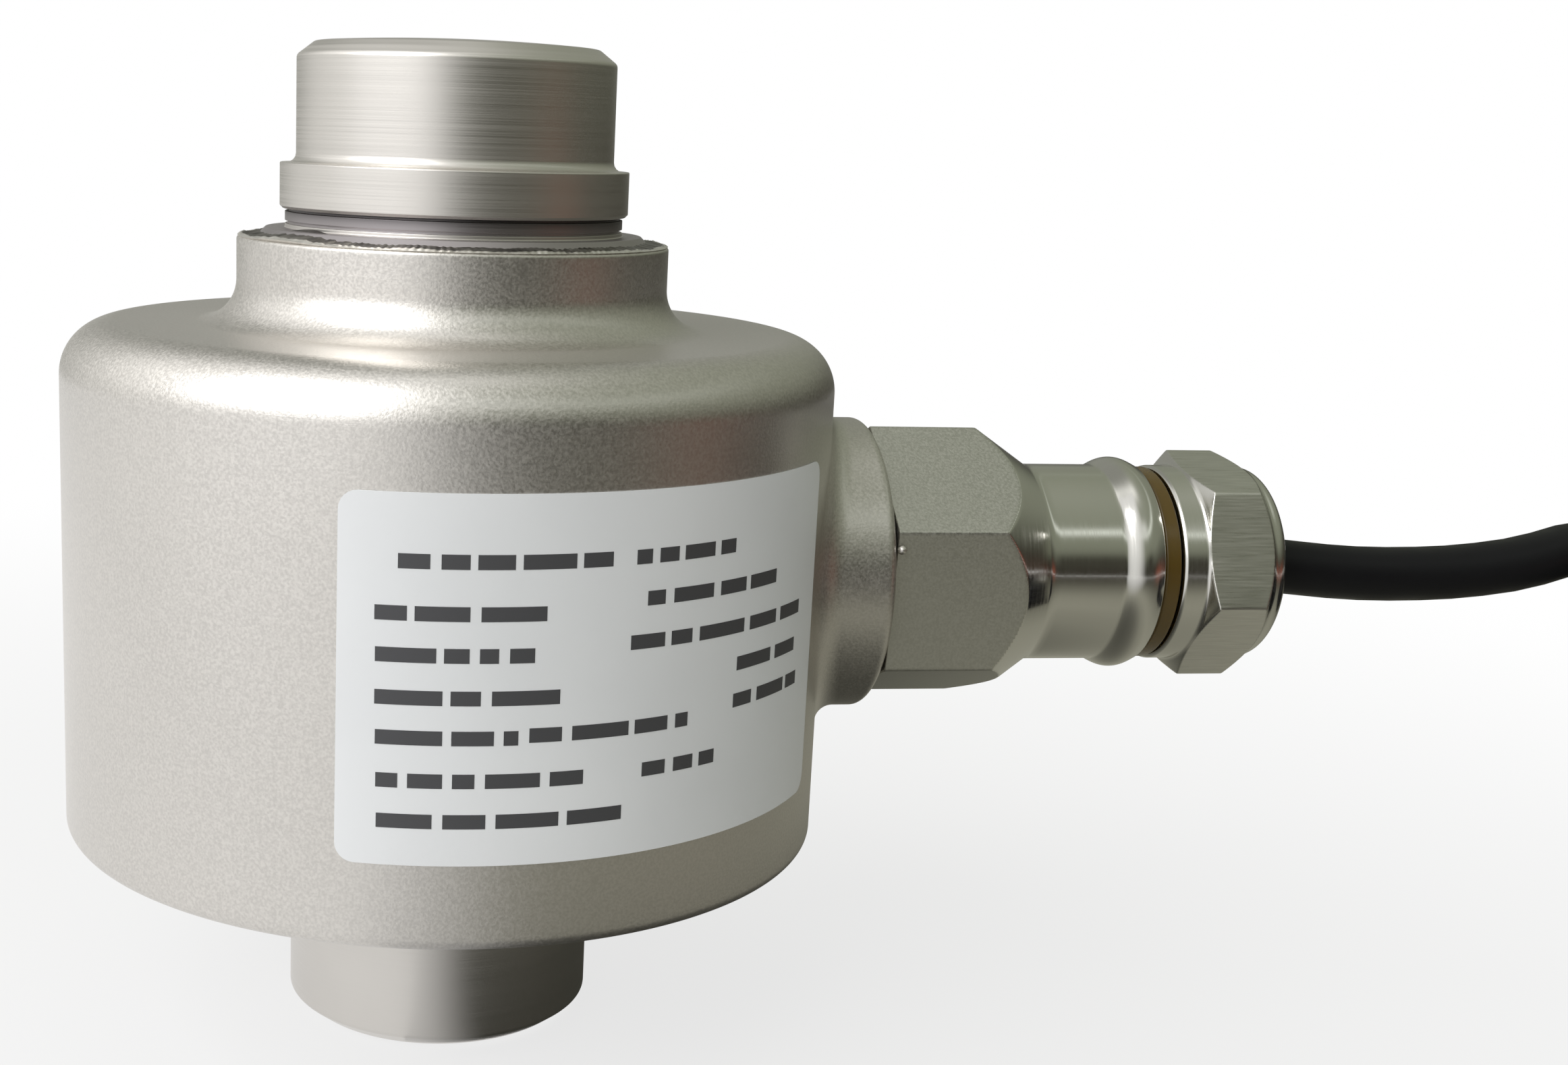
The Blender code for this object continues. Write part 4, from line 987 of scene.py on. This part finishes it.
def make_neck_weld(materials):
    """The bead between the column's flange and the housing's neck, uneven as the torch left it."""
    steps = 1440
    angles = np.linspace(0, 2 * math.pi, steps, endpoint=False)
    inner, outer = FLANGE_RADIUS - 1.0 * MM, NECK_RADIUS - 0.1 * MM
    ripple = waves(angles, 4, 10, 220)
    drift = waves(angles, 9, 7, 26)
    off_lump = (angles - math.radians(LUMP_DEG) + math.pi) % (2 * math.pi) - math.pi
    lump = np.exp(-((off_lump / math.radians(LUMP_WIDTH_DEG)) ** 2))
    rings = []
    for share in np.linspace(0, 1, 13):
        middle = math.sin(math.pi * share)
        radius = inner + (outer - inner) * share
        radius = radius + (0.10 * drift + 0.05 * ripple) * MM * (0.4 + 0.6 * middle)
        radius = radius - lump * (1 - share) * 1.6 * MM
        straight = FLANGE_TOP - 0.35 * MM + (NECK_TOP - FLANGE_TOP + 0.35 * MM) * share**0.7
        height = straight + (0.05 * drift + 0.05 * ripple) * MM * middle
        lip = math.exp(-(((share - LIP_SHARE) / 0.11) ** 2))
        height = height + (0.17 + 0.05 * drift + 0.03 * ripple) * MM * lip
        height = height + lump * (0.25 + 0.35 * (1 - share)) * MM
        height = np.minimum(height, FLANGE_TOP + 0.5 * MM)
        rings.append(np.stack([radius * np.cos(angles), radius * np.sin(angles), height], axis=1))
    root = ((NECK_RADIUS - 0.6 * MM, NECK_TOP - 0.25 * MM), (FLANGE_RADIUS - 0.4 * MM, FLANGE_TOP - 1.1 * MM))
    for radius, height in root:
        rings.append(np.stack([radius * np.cos(angles), radius * np.sin(angles), np.full(steps, height)], axis=1))
    bead = object_of("neck_bead", skin(rings), materials["neck_bead"], 60)
    keep(bead, "neck_weld", slot="steel_weld")


def on_shell(across, up, lift):
    """A point on the label: across from its left edge and up from its bottom edge, lifted off the housing."""
    angle = math.radians(LABEL_LEFT_DEG) + across / SHELL_RADIUS
    radius = SHELL_RADIUS + lift
    return (radius * math.cos(angle), radius * math.sin(angle), LABEL_BOTTOM + up)


def curved_patch(left, right, bottom, top, corner, lift, thickness, columns):
    """Rings of points of a thin patch with round corners, bent round the housing."""
    turns = [math.radians(90 * i / 6) for i in range(7)]
    start = [(left + corner * (1 - math.cos(a)), corner * (1 - math.sin(a))) for a in turns]
    middle = [(left + corner + (right - left - 2 * corner) * i / columns, 0) for i in range(1, columns)]
    stations = start + middle + [(left + right - across, inset) for across, inset in reversed(start)]
    rings = []
    for across, inset in stations:
        low_edge, high_edge, face = bottom + inset, top - inset, lift + thickness
        section = ((low_edge, lift), (high_edge, lift), (high_edge, face), (low_edge, face))
        rings.append([on_shell(across, up, height) for up, height in section])
    return rings


def capped(rings):
    """A closed mesh over rings of points, with a face over the first and the last."""
    mesh = bmesh.new()
    made = [[mesh.verts.new(point) for point in ring] for ring in rings]
    for ring, following in zip(made, made[1:]):
        for i in range(len(ring)):
            j = (i + 1) % len(ring)
            mesh.faces.new((ring[i], ring[j], following[j], following[i]))
    mesh.faces.new(made[0])
    mesh.faces.new(made[-1])
    return mesh


def make_base_seams(materials):
    """The rippled seams at the outer and inner edge of the base plate."""
    for node, name in (("base_outer_seam", "outer_seam"), ("base_inner_seam", "inner_seam")):
        height = high(node, 2) + 0.05 * MM
        radius = high(node, 0) - SEAM_BEAD_RADIUS
        tree = seam_tree(materials["steel_weld"], radius, height, SEAM_BEAD_RADIUS)
        seam = tree.bake(name, bpy.data.meshes.new(name + "_start"))
        keep(seam, node, slot="steel_weld")


def make_label(materials):
    """The film with its rows of dark bars."""
    film = capped(curved_patch(0, LABEL_WIDTH, 0, LABEL_HEIGHT, LABEL_CORNER, LABEL_LIFT, LABEL_THICKNESS, 60))
    keep(object_of("label", film, materials["label_silver"]), "label_film", slot="label_silver")

    chance = np.random.default_rng(12)
    points, lengths = [], []
    for up, first, last in BAR_ROWS:
        across = first
        while last - across > 1.2:
            length = min(chance.uniform(1.6, 6.5), last - across)
            points.append(((across + length / 2) * MM, up * MM, 0))
            lengths.append(length * MM)
            across += length + chance.uniform(0.6, 1.0)
    places = points_mesh("bar_places", points, bar_length=lengths)
    keep(bars_tree(materials["label_ink"]).bake("label_print", places), slot="label_silver")


# Gland


def gland_body_stations():
    cone = BODY_START + BODY_HEX_LENGTH
    sleeve = cone + BODY_CONE_LENGTH
    bead = sleeve + SLEEVE_LENGTH
    face = bead + BEAD_LENGTH
    corner = BODY_FLATS / 2 / math.cos(math.pi / 6)
    inner = SPIGOT_RADIUS
    stations = [(BODY_START, inner, share) for share in (0.0, 0.5, 0.9, 0.97)]
    stations += [(BODY_START + 0.03 * MM, inner, 0.99), (BODY_START + 0.1 * MM, inner, 1.0)]
    stations += [(BODY_START + 0.3 * MM, corner + 1 * MM), (cone - 1.0 * MM, corner + 1 * MM)]
    slope = (corner - SLEEVE_RADIUS) / BODY_CONE_LENGTH
    cone_end = (sleeve - 1.2 * MM, SLEEVE_RADIUS + 1.2 * MM * slope)
    stations += line_of((cone - 0.6 * MM, corner + 0.6 * MM * slope), cone_end, 60)
    stations += line_of(cone_end, (sleeve - 0.5 * MM, SLEEVE_RADIUS + 0.34 * MM), 3)
    stations += [(sleeve - 0.2 * MM, SLEEVE_RADIUS + 0.14 * MM), (sleeve + 0.3 * MM, SLEEVE_RADIUS + 0.02 * MM)]
    stations += [(sleeve + 0.9 * MM, SLEEVE_RADIUS), (bead - 0.3 * MM, SLEEVE_RADIUS)]
    for share in np.linspace(0, 1, 29):
        lift = (BEAD_RADIUS - SLEEVE_RADIUS) * math.sin(math.radians(BEAD_SWEEP_DEG) * share) ** 1.25
        stations.append((bead + BEAD_LENGTH * share, SLEEVE_RADIUS + lift))
    rim = stations[-1][1]
    stations += [(face + 0.03 * MM, rim - 0.06 * MM), (face + 0.05 * MM, rim - 0.15 * MM)]
    stations += [(face + 0.05 * MM, THREAD_RADIUS), (THREAD_END, THREAD_RADIUS)]
    pocket = THREAD_END - 21 * MM
    stations += [(THREAD_END, THREAD_RADIUS - 1.2 * MM), (pocket, THREAD_RADIUS - 1.2 * MM), (pocket, 4.2 * MM)]
    stations += [(BODY_START - 9 * MM, 4.2 * MM), (BODY_START - 9 * MM, inner)]
    return stations


def make_gland(materials):
    body = hex_piece(
        "gland_hexagon",
        gland_body_stations(),
        BODY_FLATS,
        BODY_TURN_DEG,
        materials["gland_turned"],
        materials["gland_blasted"],
    )
    keep(body, "gland_body", slot="steel_blasted")

    start, end = NUT_START, NUT_END
    corner = NUT_FLATS / 2 / math.cos(math.pi / 6)
    bore = THREAD_RADIUS + TOUCH_GAP
    collar = NUT_COLLAR_RADIUS
    hexagon = start + NUT_COLLAR_LENGTH + NUT_CONE_LENGTH
    after = hexagon + NUT_HEX_LENGTH
    stations = [(start + 5 * MM, bore), (start, bore), (start, collar - 0.4 * MM), (start, collar - 0.28 * MM)]
    stations += [(start + 0.06 * MM, collar - 0.2 * MM), (start + 0.25 * MM, collar - 0.03 * MM)]
    stations += [(start + 0.4 * MM, collar)]
    stations += [(start + NUT_COLLAR_LENGTH - 0.25 * MM, collar), (start + NUT_COLLAR_LENGTH, collar + 0.06 * MM)]
    stations += line_of((start + NUT_COLLAR_LENGTH + 0.15 * MM, collar + 0.2 * MM), (hexagon, corner), 16)
    stations += line_of((hexagon, corner), (hexagon + 0.4 * MM, corner + 0.4 * MM), 3)
    stations += [(after - 0.4 * MM, corner + 0.4 * MM)]
    edge = (NUT_END_RADIUS - NUT_END_EDGE, end - NUT_END_EDGE)
    stations += line_of((after - 0.3 * MM, corner + 0.3 * MM), (edge[1] - 0.2 * MM, NUT_END_RADIUS + 0.1 * MM), 30)
    stations += [(distance, radius) for radius, distance in arc(edge, NUT_END_EDGE, 6, 90, 12)]
    mouth = CABLE_DIAMETER / 2 + 0.4 * MM
    stations += [(end, edge[0] - 0.3 * MM), (end, mouth + 0.7 * MM), (end - 0.12 * MM, mouth + 0.25 * MM)]
    stations += [(end - 0.4 * MM, mouth), (end - 4 * MM, mouth), (end - 4 * MM, bore)]
    nut = hex_piece("cap_nut", stations, NUT_FLATS, NUT_TURN_DEG, materials["steel_polished"], materials["nut_milled"])
    keep(nut, "gland_nut", slot="steel_polished")

    for node, name, slot, softness in (
        ("gland_washer", "washer", "rubber_black", 0.15 * MM),
        ("seal_ring", "seal", "seal_amber", 0.25 * MM),
    ):
        inner = (THREAD_RADIUS if node == "seal_ring" else SPIGOT_RADIUS) + TOUCH_GAP
        outer = high(node, 2) - GLAND_HEIGHT
        first, last = low(node, 0), high(node, 0)
        corners = [(inner, first, 0), (outer, first, softness), (outer, last, softness), (inner, last, 0)]
        ring = revolve(name, soften(corners, support=0.03 * MM), materials[slot], 200, along_x=True)
        keep(ring, node, slot=slot)


# Cable


def on_coil(radius, angle, height):
    return (COIL_X + radius * math.cos(angle), COIL_Y + radius * math.sin(angle), height)


def free_route():
    """Points of the free cable, as in the solid: out of the nut, over a crest and down to the coil."""
    outer = COIL_MEAN_RADIUS + ((COIL_COLUMNS - 1) * TURN_PITCH + CABLE_DIAMETER) / 2
    floor = low("cable_coil", 2) + CABLE_DIAMETER / 2
    join = math.radians(JOIN_DEG)
    ahead = (math.sin(join), -math.cos(join))
    reach = math.sqrt((outer + TOUCH_GAP) ** 2 - (outer - CABLE_DIAMETER) ** 2)
    turn_radius = outer - CABLE_DIAMETER / 2
    touch = on_coil(turn_radius, join, floor)
    end = (touch[0] - ahead[0] * reach, touch[1] - ahead[1] * reach)
    corner = end[0] - end[1] * ahead[0] / ahead[1]
    length = corner + end[1] / ahead[1]

    def over_floor(distance, height):
        past = distance - corner
        if past <= -SIDE_BEND_REACH:
            return (distance, 0, height)
        if past >= SIDE_BEND_REACH:
            return (corner + past * ahead[0], past * ahead[1], height)
        share = (past + SIDE_BEND_REACH) ** 2 / (4 * SIDE_BEND_REACH)
        return (distance - (1 - ahead[0]) * share, ahead[1] * share, height)

    start = NUT_END + CREST_DISTANCE
    half_fall = math.atan((CREST_HEIGHT - floor) / (length - start))
    radius = (length - start) / (2 * math.sin(2 * half_fall))
    route = [(NUT_END - 1.0 * MM, 0, GLAND_HEIGHT)]
    route += [(NUT_END + distance * MM, 0, height * MM) for distance, height in CABLE_SAG]
    route.append(over_floor(NUT_END + 41.2 * MM, 51.0 * MM))
    turns = [2 * half_fall * i / 5 for i in range(6)]
    for turn in turns:
        distance = start + radius * math.sin(turn)
        route.append(over_floor(distance, CREST_HEIGHT - radius * (1 - math.cos(turn))))
    for turn in reversed(turns[:-1]):
        distance = length - radius * math.sin(turn)
        route.append(over_floor(distance, floor + radius * (1 - math.cos(turn))))
    return route + [over_floor(length + reach * share, floor) for share in (0.33, 0.66)]


def smooth_path(route, spacing):
    """Evenly spaced points on a smooth curve through a route's points."""
    points = np.array(route, float)
    padded = np.vstack([2 * points[0] - points[1], points, 2 * points[-1] - points[-2]])
    fine = []
    for before, a, b, after in zip(padded, padded[1:], padded[2:], padded[3:]):
        for t in np.linspace(0, 1, 40, endpoint=False):
            bend = (2 * before - 5 * a + 4 * b - after) * t**2 + (3 * a - before - 3 * b + after) * t**3
            fine.append(0.5 * (2 * a + (b - before) * t + bend))
    fine.append(points[-1])
    fine = np.array(fine)
    lengths = np.concatenate([[0], np.cumsum(np.linalg.norm(np.diff(fine, axis=0), axis=1))])
    even = np.linspace(0, lengths[-1], max(2, round(lengths[-1] / spacing) + 1))
    return np.stack([np.interp(even, lengths, fine[:, k]) for k in range(3)], axis=1)


def smooth_share(value, first=0.0, last=1.0):
    """0 up to the first value, 1 from the last on, and a smooth rise between them."""
    share = min(max((value - first) / (last - first), 0.0), 1.0)
    return share * share * (3 - 2 * share)


def coil_turns():
    """Points of the coil, clockwise from above: layers that run inwards and outwards by turns, then the end on top."""
    places = []
    for layer in range(COIL_LAYERS):
        columns = range(COIL_COLUMNS)
        places += [(layer, column) for column in (reversed(columns) if layer % 2 == 0 else columns)]
    places.append((COIL_LAYERS, COIL_COLUMNS - 1))
    floor = low("cable_coil", 2) + CABLE_DIAMETER / 2
    first_radius = COIL_MEAN_RADIUS - (COIL_COLUMNS - 1) / 2 * TURN_PITCH
    points = []
    per_turn = 48
    for turn, (place, following) in enumerate(zip(places, places[1:])):
        for step in range(per_turn):
            share = step / per_turn
            move = smooth_share((share - 1 + CROSSING_SHARE) / CROSSING_SHARE)
            layer = place[0] + (following[0] - place[0]) * move
            column = place[1] + (following[1] - place[1]) * move
            angle = math.radians(JOIN_DEG) - 2 * math.pi * (turn + share)
            points.append(on_coil(first_radius + column * TURN_PITCH, angle, floor + layer * TURN_PITCH))
    last_radius = first_radius + (COIL_COLUMNS - 1) * TURN_PITCH
    for share in np.linspace(0, 1, 9):
        angle = math.radians(JOIN_DEG + (CABLE_END_DEG - JOIN_DEG) * share)
        radius = last_radius + (CABLE_END_RADIUS - last_radius) * smooth_share(share)
        points.append(on_coil(radius, angle, floor + COIL_LAYERS * TURN_PITCH))
    return points


def make_ties(materials):
    """The coil's three ties, each round the outline of the coil's section."""
    bottom, top = low("cable_coil", 2), high("cable_coil", 2)
    half = ((COIL_COLUMNS - 1) * TURN_PITCH + CABLE_DIAMETER) / 2
    reach = TOUCH_GAP + TIE_THICKNESS / 2
    corner = TIE_CORNER + TIE_THICKNESS / 2
    low_r, high_r = COIL_MEAN_RADIUS - half - reach + corner, COIL_MEAN_RADIUS + half + reach - corner
    low_z, high_z = bottom - reach + corner, top + reach - corner
    outline = []
    centres = ((high_r, high_z), (low_r, high_z), (low_r, low_z), (high_r, low_z))
    for i, centre in enumerate(centres):
        outline += arc(centre, corner, 90 * i, 90 * i + 90, 10)
    ties = []
    for i, degrees in enumerate(TIE_ANGLES_DEG):
        start = bpy.data.meshes.new("tie_outline")
        count = len(outline)
        start.from_pydata([(x, z, 0) for x, z in outline], [(k, (k + 1) % count) for k in range(count)], [])
        tie = tie_tree(materials["tie_black"], degrees).bake(f"tie_{i + 1}", start)
        keep(tie, f"coil_tie_{i + 1}", slot="tie_black")
        ties.append(tie)
    return ties


def make_cable(materials):
    """The whole free cable as one curve, and the ties round its coil."""
    path = [tuple(point) for point in smooth_path(free_route(), 0.6 * CABLE_DIAMETER)]
    path += coil_turns()
    data = bpy.data.curves.new("cable_run", "CURVE")
    data.dimensions = "3D"
    data.bevel_depth = CABLE_DIAMETER / 2
    data.bevel_resolution = 8
    data.use_fill_caps = True
    spline = data.splines.new("POLY")
    spline.points.add(len(path) - 1)
    for target, point in zip(spline.points, path):
        target.co = (*point, 1)
    spline.use_smooth = True
    data.materials.append(materials["jacket_black"])
    cable = put("cable_run", data)
    keep(cable, "cable", "cable_coil", "cable_end", slot="jacket_black")
    nodes = frame["nodes"]
    on_cable = make_ties(materials) + [nodes[f"cable_lead_{i}"] for i in (1, 2, 3, 4)] + [nodes["cable_in_gland"]]


# Stage


def make_camera():
    data = bpy.data.cameras.new("camera")
    data.sensor_fit = "HORIZONTAL"
    data.sensor_width = 36
    data.lens = LENS
    data.shift_x = SHIFT_X
    data.clip_start = 0.005
    data.clip_end = 50
    camera = put("camera", data)
    turn = Matrix.Rotation(math.radians(-CAMERA_TURN_DEG), 4, "Z")
    tilt = Matrix.Rotation(math.radians(90 + CAMERA_TILT_DEG), 4, "X")
    roll = Matrix.Rotation(math.radians(CAMERA_ROLL_DEG), 4, "Z")
    camera.matrix_world = Matrix.Translation(CAMERA_PLACE) @ turn @ tilt @ roll
    bpy.context.scene.camera = camera


def make_key():
    """One large softbox, up on the left of the camera."""
    data = bpy.data.lights.new("key", "AREA")
    data.shape = "RECTANGLE"
    data.size, data.size_y = KEY_SIZE
    data.energy = KEY_POWER
    lamp = put("key", data)
    lamp.location = KEY_PLACE
    lamp.rotation_euler = (Vector(KEY_AIM) - Vector(KEY_PLACE)).to_track_quat("-Z", "Y").to_euler()


def tent_tone(turn, rise):
    """The tent's own colour in one direction from the cell."""
    rises = [row[0] for row in TENT_TONES]
    colour = np.array([np.interp(rise, rises, [row[k] for row in TENT_TONES]) for k in (1, 2, 3)])
    below, above = np.array(BEHIND_TONE), np.array(BEHIND_TONE_ABOVE)
    if rise > BEHIND_LOWEST_DEG:
        behind = below + (above - below) * smooth_share(rise, *BEHIND_RISE_DEG)
        colour += (behind - colour) * smooth_share(turn, *BEHIND_TURN_DEG)
    colour += (np.array(LEFT_TONE) - colour) * smooth_share(turn, *LEFT_TURN_DEG)
    for middle, height, width, reach, patch in TENT_PATCHES:
        away = ((turn - middle) / width) ** 2 + ((rise - height) / reach) ** 2
        colour += (np.array(patch) - colour) * math.exp(-away)
    return colour


def card_value(distance, first, last, near, far):
    """The card's own value at a distance from the load axis, from one near it to one far from it."""
    return near + (far - near) * smooth_share(distance, first, last)


def dark_sheet(name, profile, start_deg, end_deg, columns=100):
    """A sheet over a profile of (distance, height), whose glow the metal mirrors and the camera doesn't see."""
    mesh = bmesh.new()
    layer = mesh.verts.layers.float_color.new("tone")
    grid = []
    for flat, height in profile:
        on_floor = height < 1 * MM
        rise = math.degrees(math.atan2(height - GLAND_HEIGHT, max(flat - SHELL_RADIUS * on_floor, 0.001)))
        # painted shadow of the cell on the floor card: its tones are made darker near the load axis
        level = card_value(flat, *CARD_PAINTED_SHADOW) if on_floor else 1.0
        plain_tone = card_value(flat, *CARD_START_TONE) if on_floor else 1.0
        line = []
        for turn in np.linspace(start_deg, end_deg, columns + 1):
            angle = math.radians(turn)
            vertex = mesh.verts.new((flat * math.cos(angle), flat * math.sin(angle), height))
            own = smooth_share(turn - start_deg, 0, TENT_SOFT_START_DEG)
            vertex[layer] = (*(plain_tone + (tent_tone(turn, rise) * level - plain_tone) * own), 1)
            line.append(vertex)
        grid.append(line)
    for lower, upper in zip(grid, grid[1:]):
        for i in range(columns):
            mesh.faces.new((lower[i], lower[i + 1], upper[i + 1], upper[i]))
    data = bpy.data.meshes.new(name)
    mesh.to_mesh(data)
    mesh.free()
    shader = Shader(name, (0, 0, 0), 0.0, 1.0)
    tone = shader.node("Attribute")
    tone.attribute_name = "tone"
    shader.look(Emission_Color=tone.outputs["Color"], Emission_Strength=1.0)
    data.materials.append(shader.material)
    sheet = put(name, data)
    sheet.visible_camera = False
    sheet.visible_shadow = False
    return sheet


def make_tent():
    """The card on the floor and the dome."""
    on_floor = [(flat, 0.6 * MM) for flat in TENT_FOOT + (TENT_RADIUS - TENT_FOOT) * np.linspace(0, 1, 22) ** 1.6]
    dark_sheet("dark_card", on_floor, CARD_START_DEG, CARD_END_DEG).visible_diffuse = False
    dome = []
    for rise in np.radians(np.arange(-4, 90.1, 2)):
        dome.append((TENT_RADIUS * math.cos(rise), 0.05 + TENT_RADIUS * math.sin(rise)))
    dark_sheet("dark_tent", dome, TENT_START_DEG, TENT_END_DEG)


def seen_directly(tree, path):
    """1 for what the camera sees, also in metal and through glass."""
    seen = path.outputs["Is Camera Ray"]
    for name in ("Is Glossy Ray", "Is Transmission Ray"):
        either = tree.nodes.new("ShaderNodeMath")
        either.operation = "MAXIMUM"
        fill(tree, either.inputs[0], seen)
        fill(tree, either.inputs[1], path.outputs[name])
        seen = either.outputs[0]
    return seen


def blend_to_output(tree, share, first, second):
    """The tree's output shows its first shader, and its second one by the given share."""
    blend = tree.nodes.new("ShaderNodeMixShader")
    for socket, value in zip(blend.inputs, (share, first.outputs[0], second.outputs[0])):
        fill(tree, socket, value)
    output = next(node for node in tree.nodes if node.name.endswith("Output"))
    fill(tree, output.inputs["Surface"], blend.outputs[0])


def make_floor():
    """A wide grey floor. The camera and the metal see it as white, less so near the cell."""
    mesh = bmesh.new()
    bmesh.ops.create_circle(mesh, cap_ends=True, segments=96, radius=FLOOR_RADIUS)
    data = bpy.data.meshes.new("floor")
    mesh.to_mesh(data)
    mesh.free()
    shader = Shader("floor", FLOOR_COLOUR, 0.0, 0.9)
    path = shader.node("LightPath")
    x, y, _ = shader.axes()
    distance = shader.length(x, y)
    fades = [shader.range(distance, *fade, smooth=True) for fade in (FLOOR_FADE, FLOOR_FADE_IN_METAL)]
    level = shader.node("Mix", Factor=path.outputs["Is Glossy Ray"], A=fades[0], B=fades[1]).outputs[0]
    share = shader.math("MULTIPLY", seen_directly(shader.tree, path), level)
    blend_to_output(shader.tree, share, shader.surface, shader.node("Emission", Strength=1.0))
    data.materials.append(shader.material)
    put("floor", data)


def make_world():
    """White behind the object and in its metal, and a lower level for what lights it."""
    world = bpy.data.worlds.new("world")
    bpy.context.scene.world = world
    world.use_nodes = True
    tree = world.node_tree
    light, white = tree.nodes["Background"], tree.nodes.new("ShaderNodeBackground")
    for node, strength in ((light, WORLD_LIGHT), (white, 1.0)):
        node.inputs["Color"].default_value = (1, 1, 1, 1)
        node.inputs["Strength"].default_value = strength
    path = tree.nodes.new("ShaderNodeLightPath")
    blend_to_output(tree, seen_directly(tree, path), light, white)


def make_stage():
    make_camera()
    make_world()
    make_floor()
    make_key()
    make_tent()
    bpy.context.scene.view_settings.view_transform = "Standard"


def main():
    materials = make_materials()
    dress_solids(materials)
    make_stage()
    make_cable(materials)
    make_column(materials)
    make_housing(materials)
    make_boss(materials)
    make_neck_weld(materials)
    make_base_seams(materials)
    make_label(materials)
    make_gland(materials)
    for solid in frame["nodes"].values():
        if not solid.hide_render:
            solid.data.shade_smooth()


main()
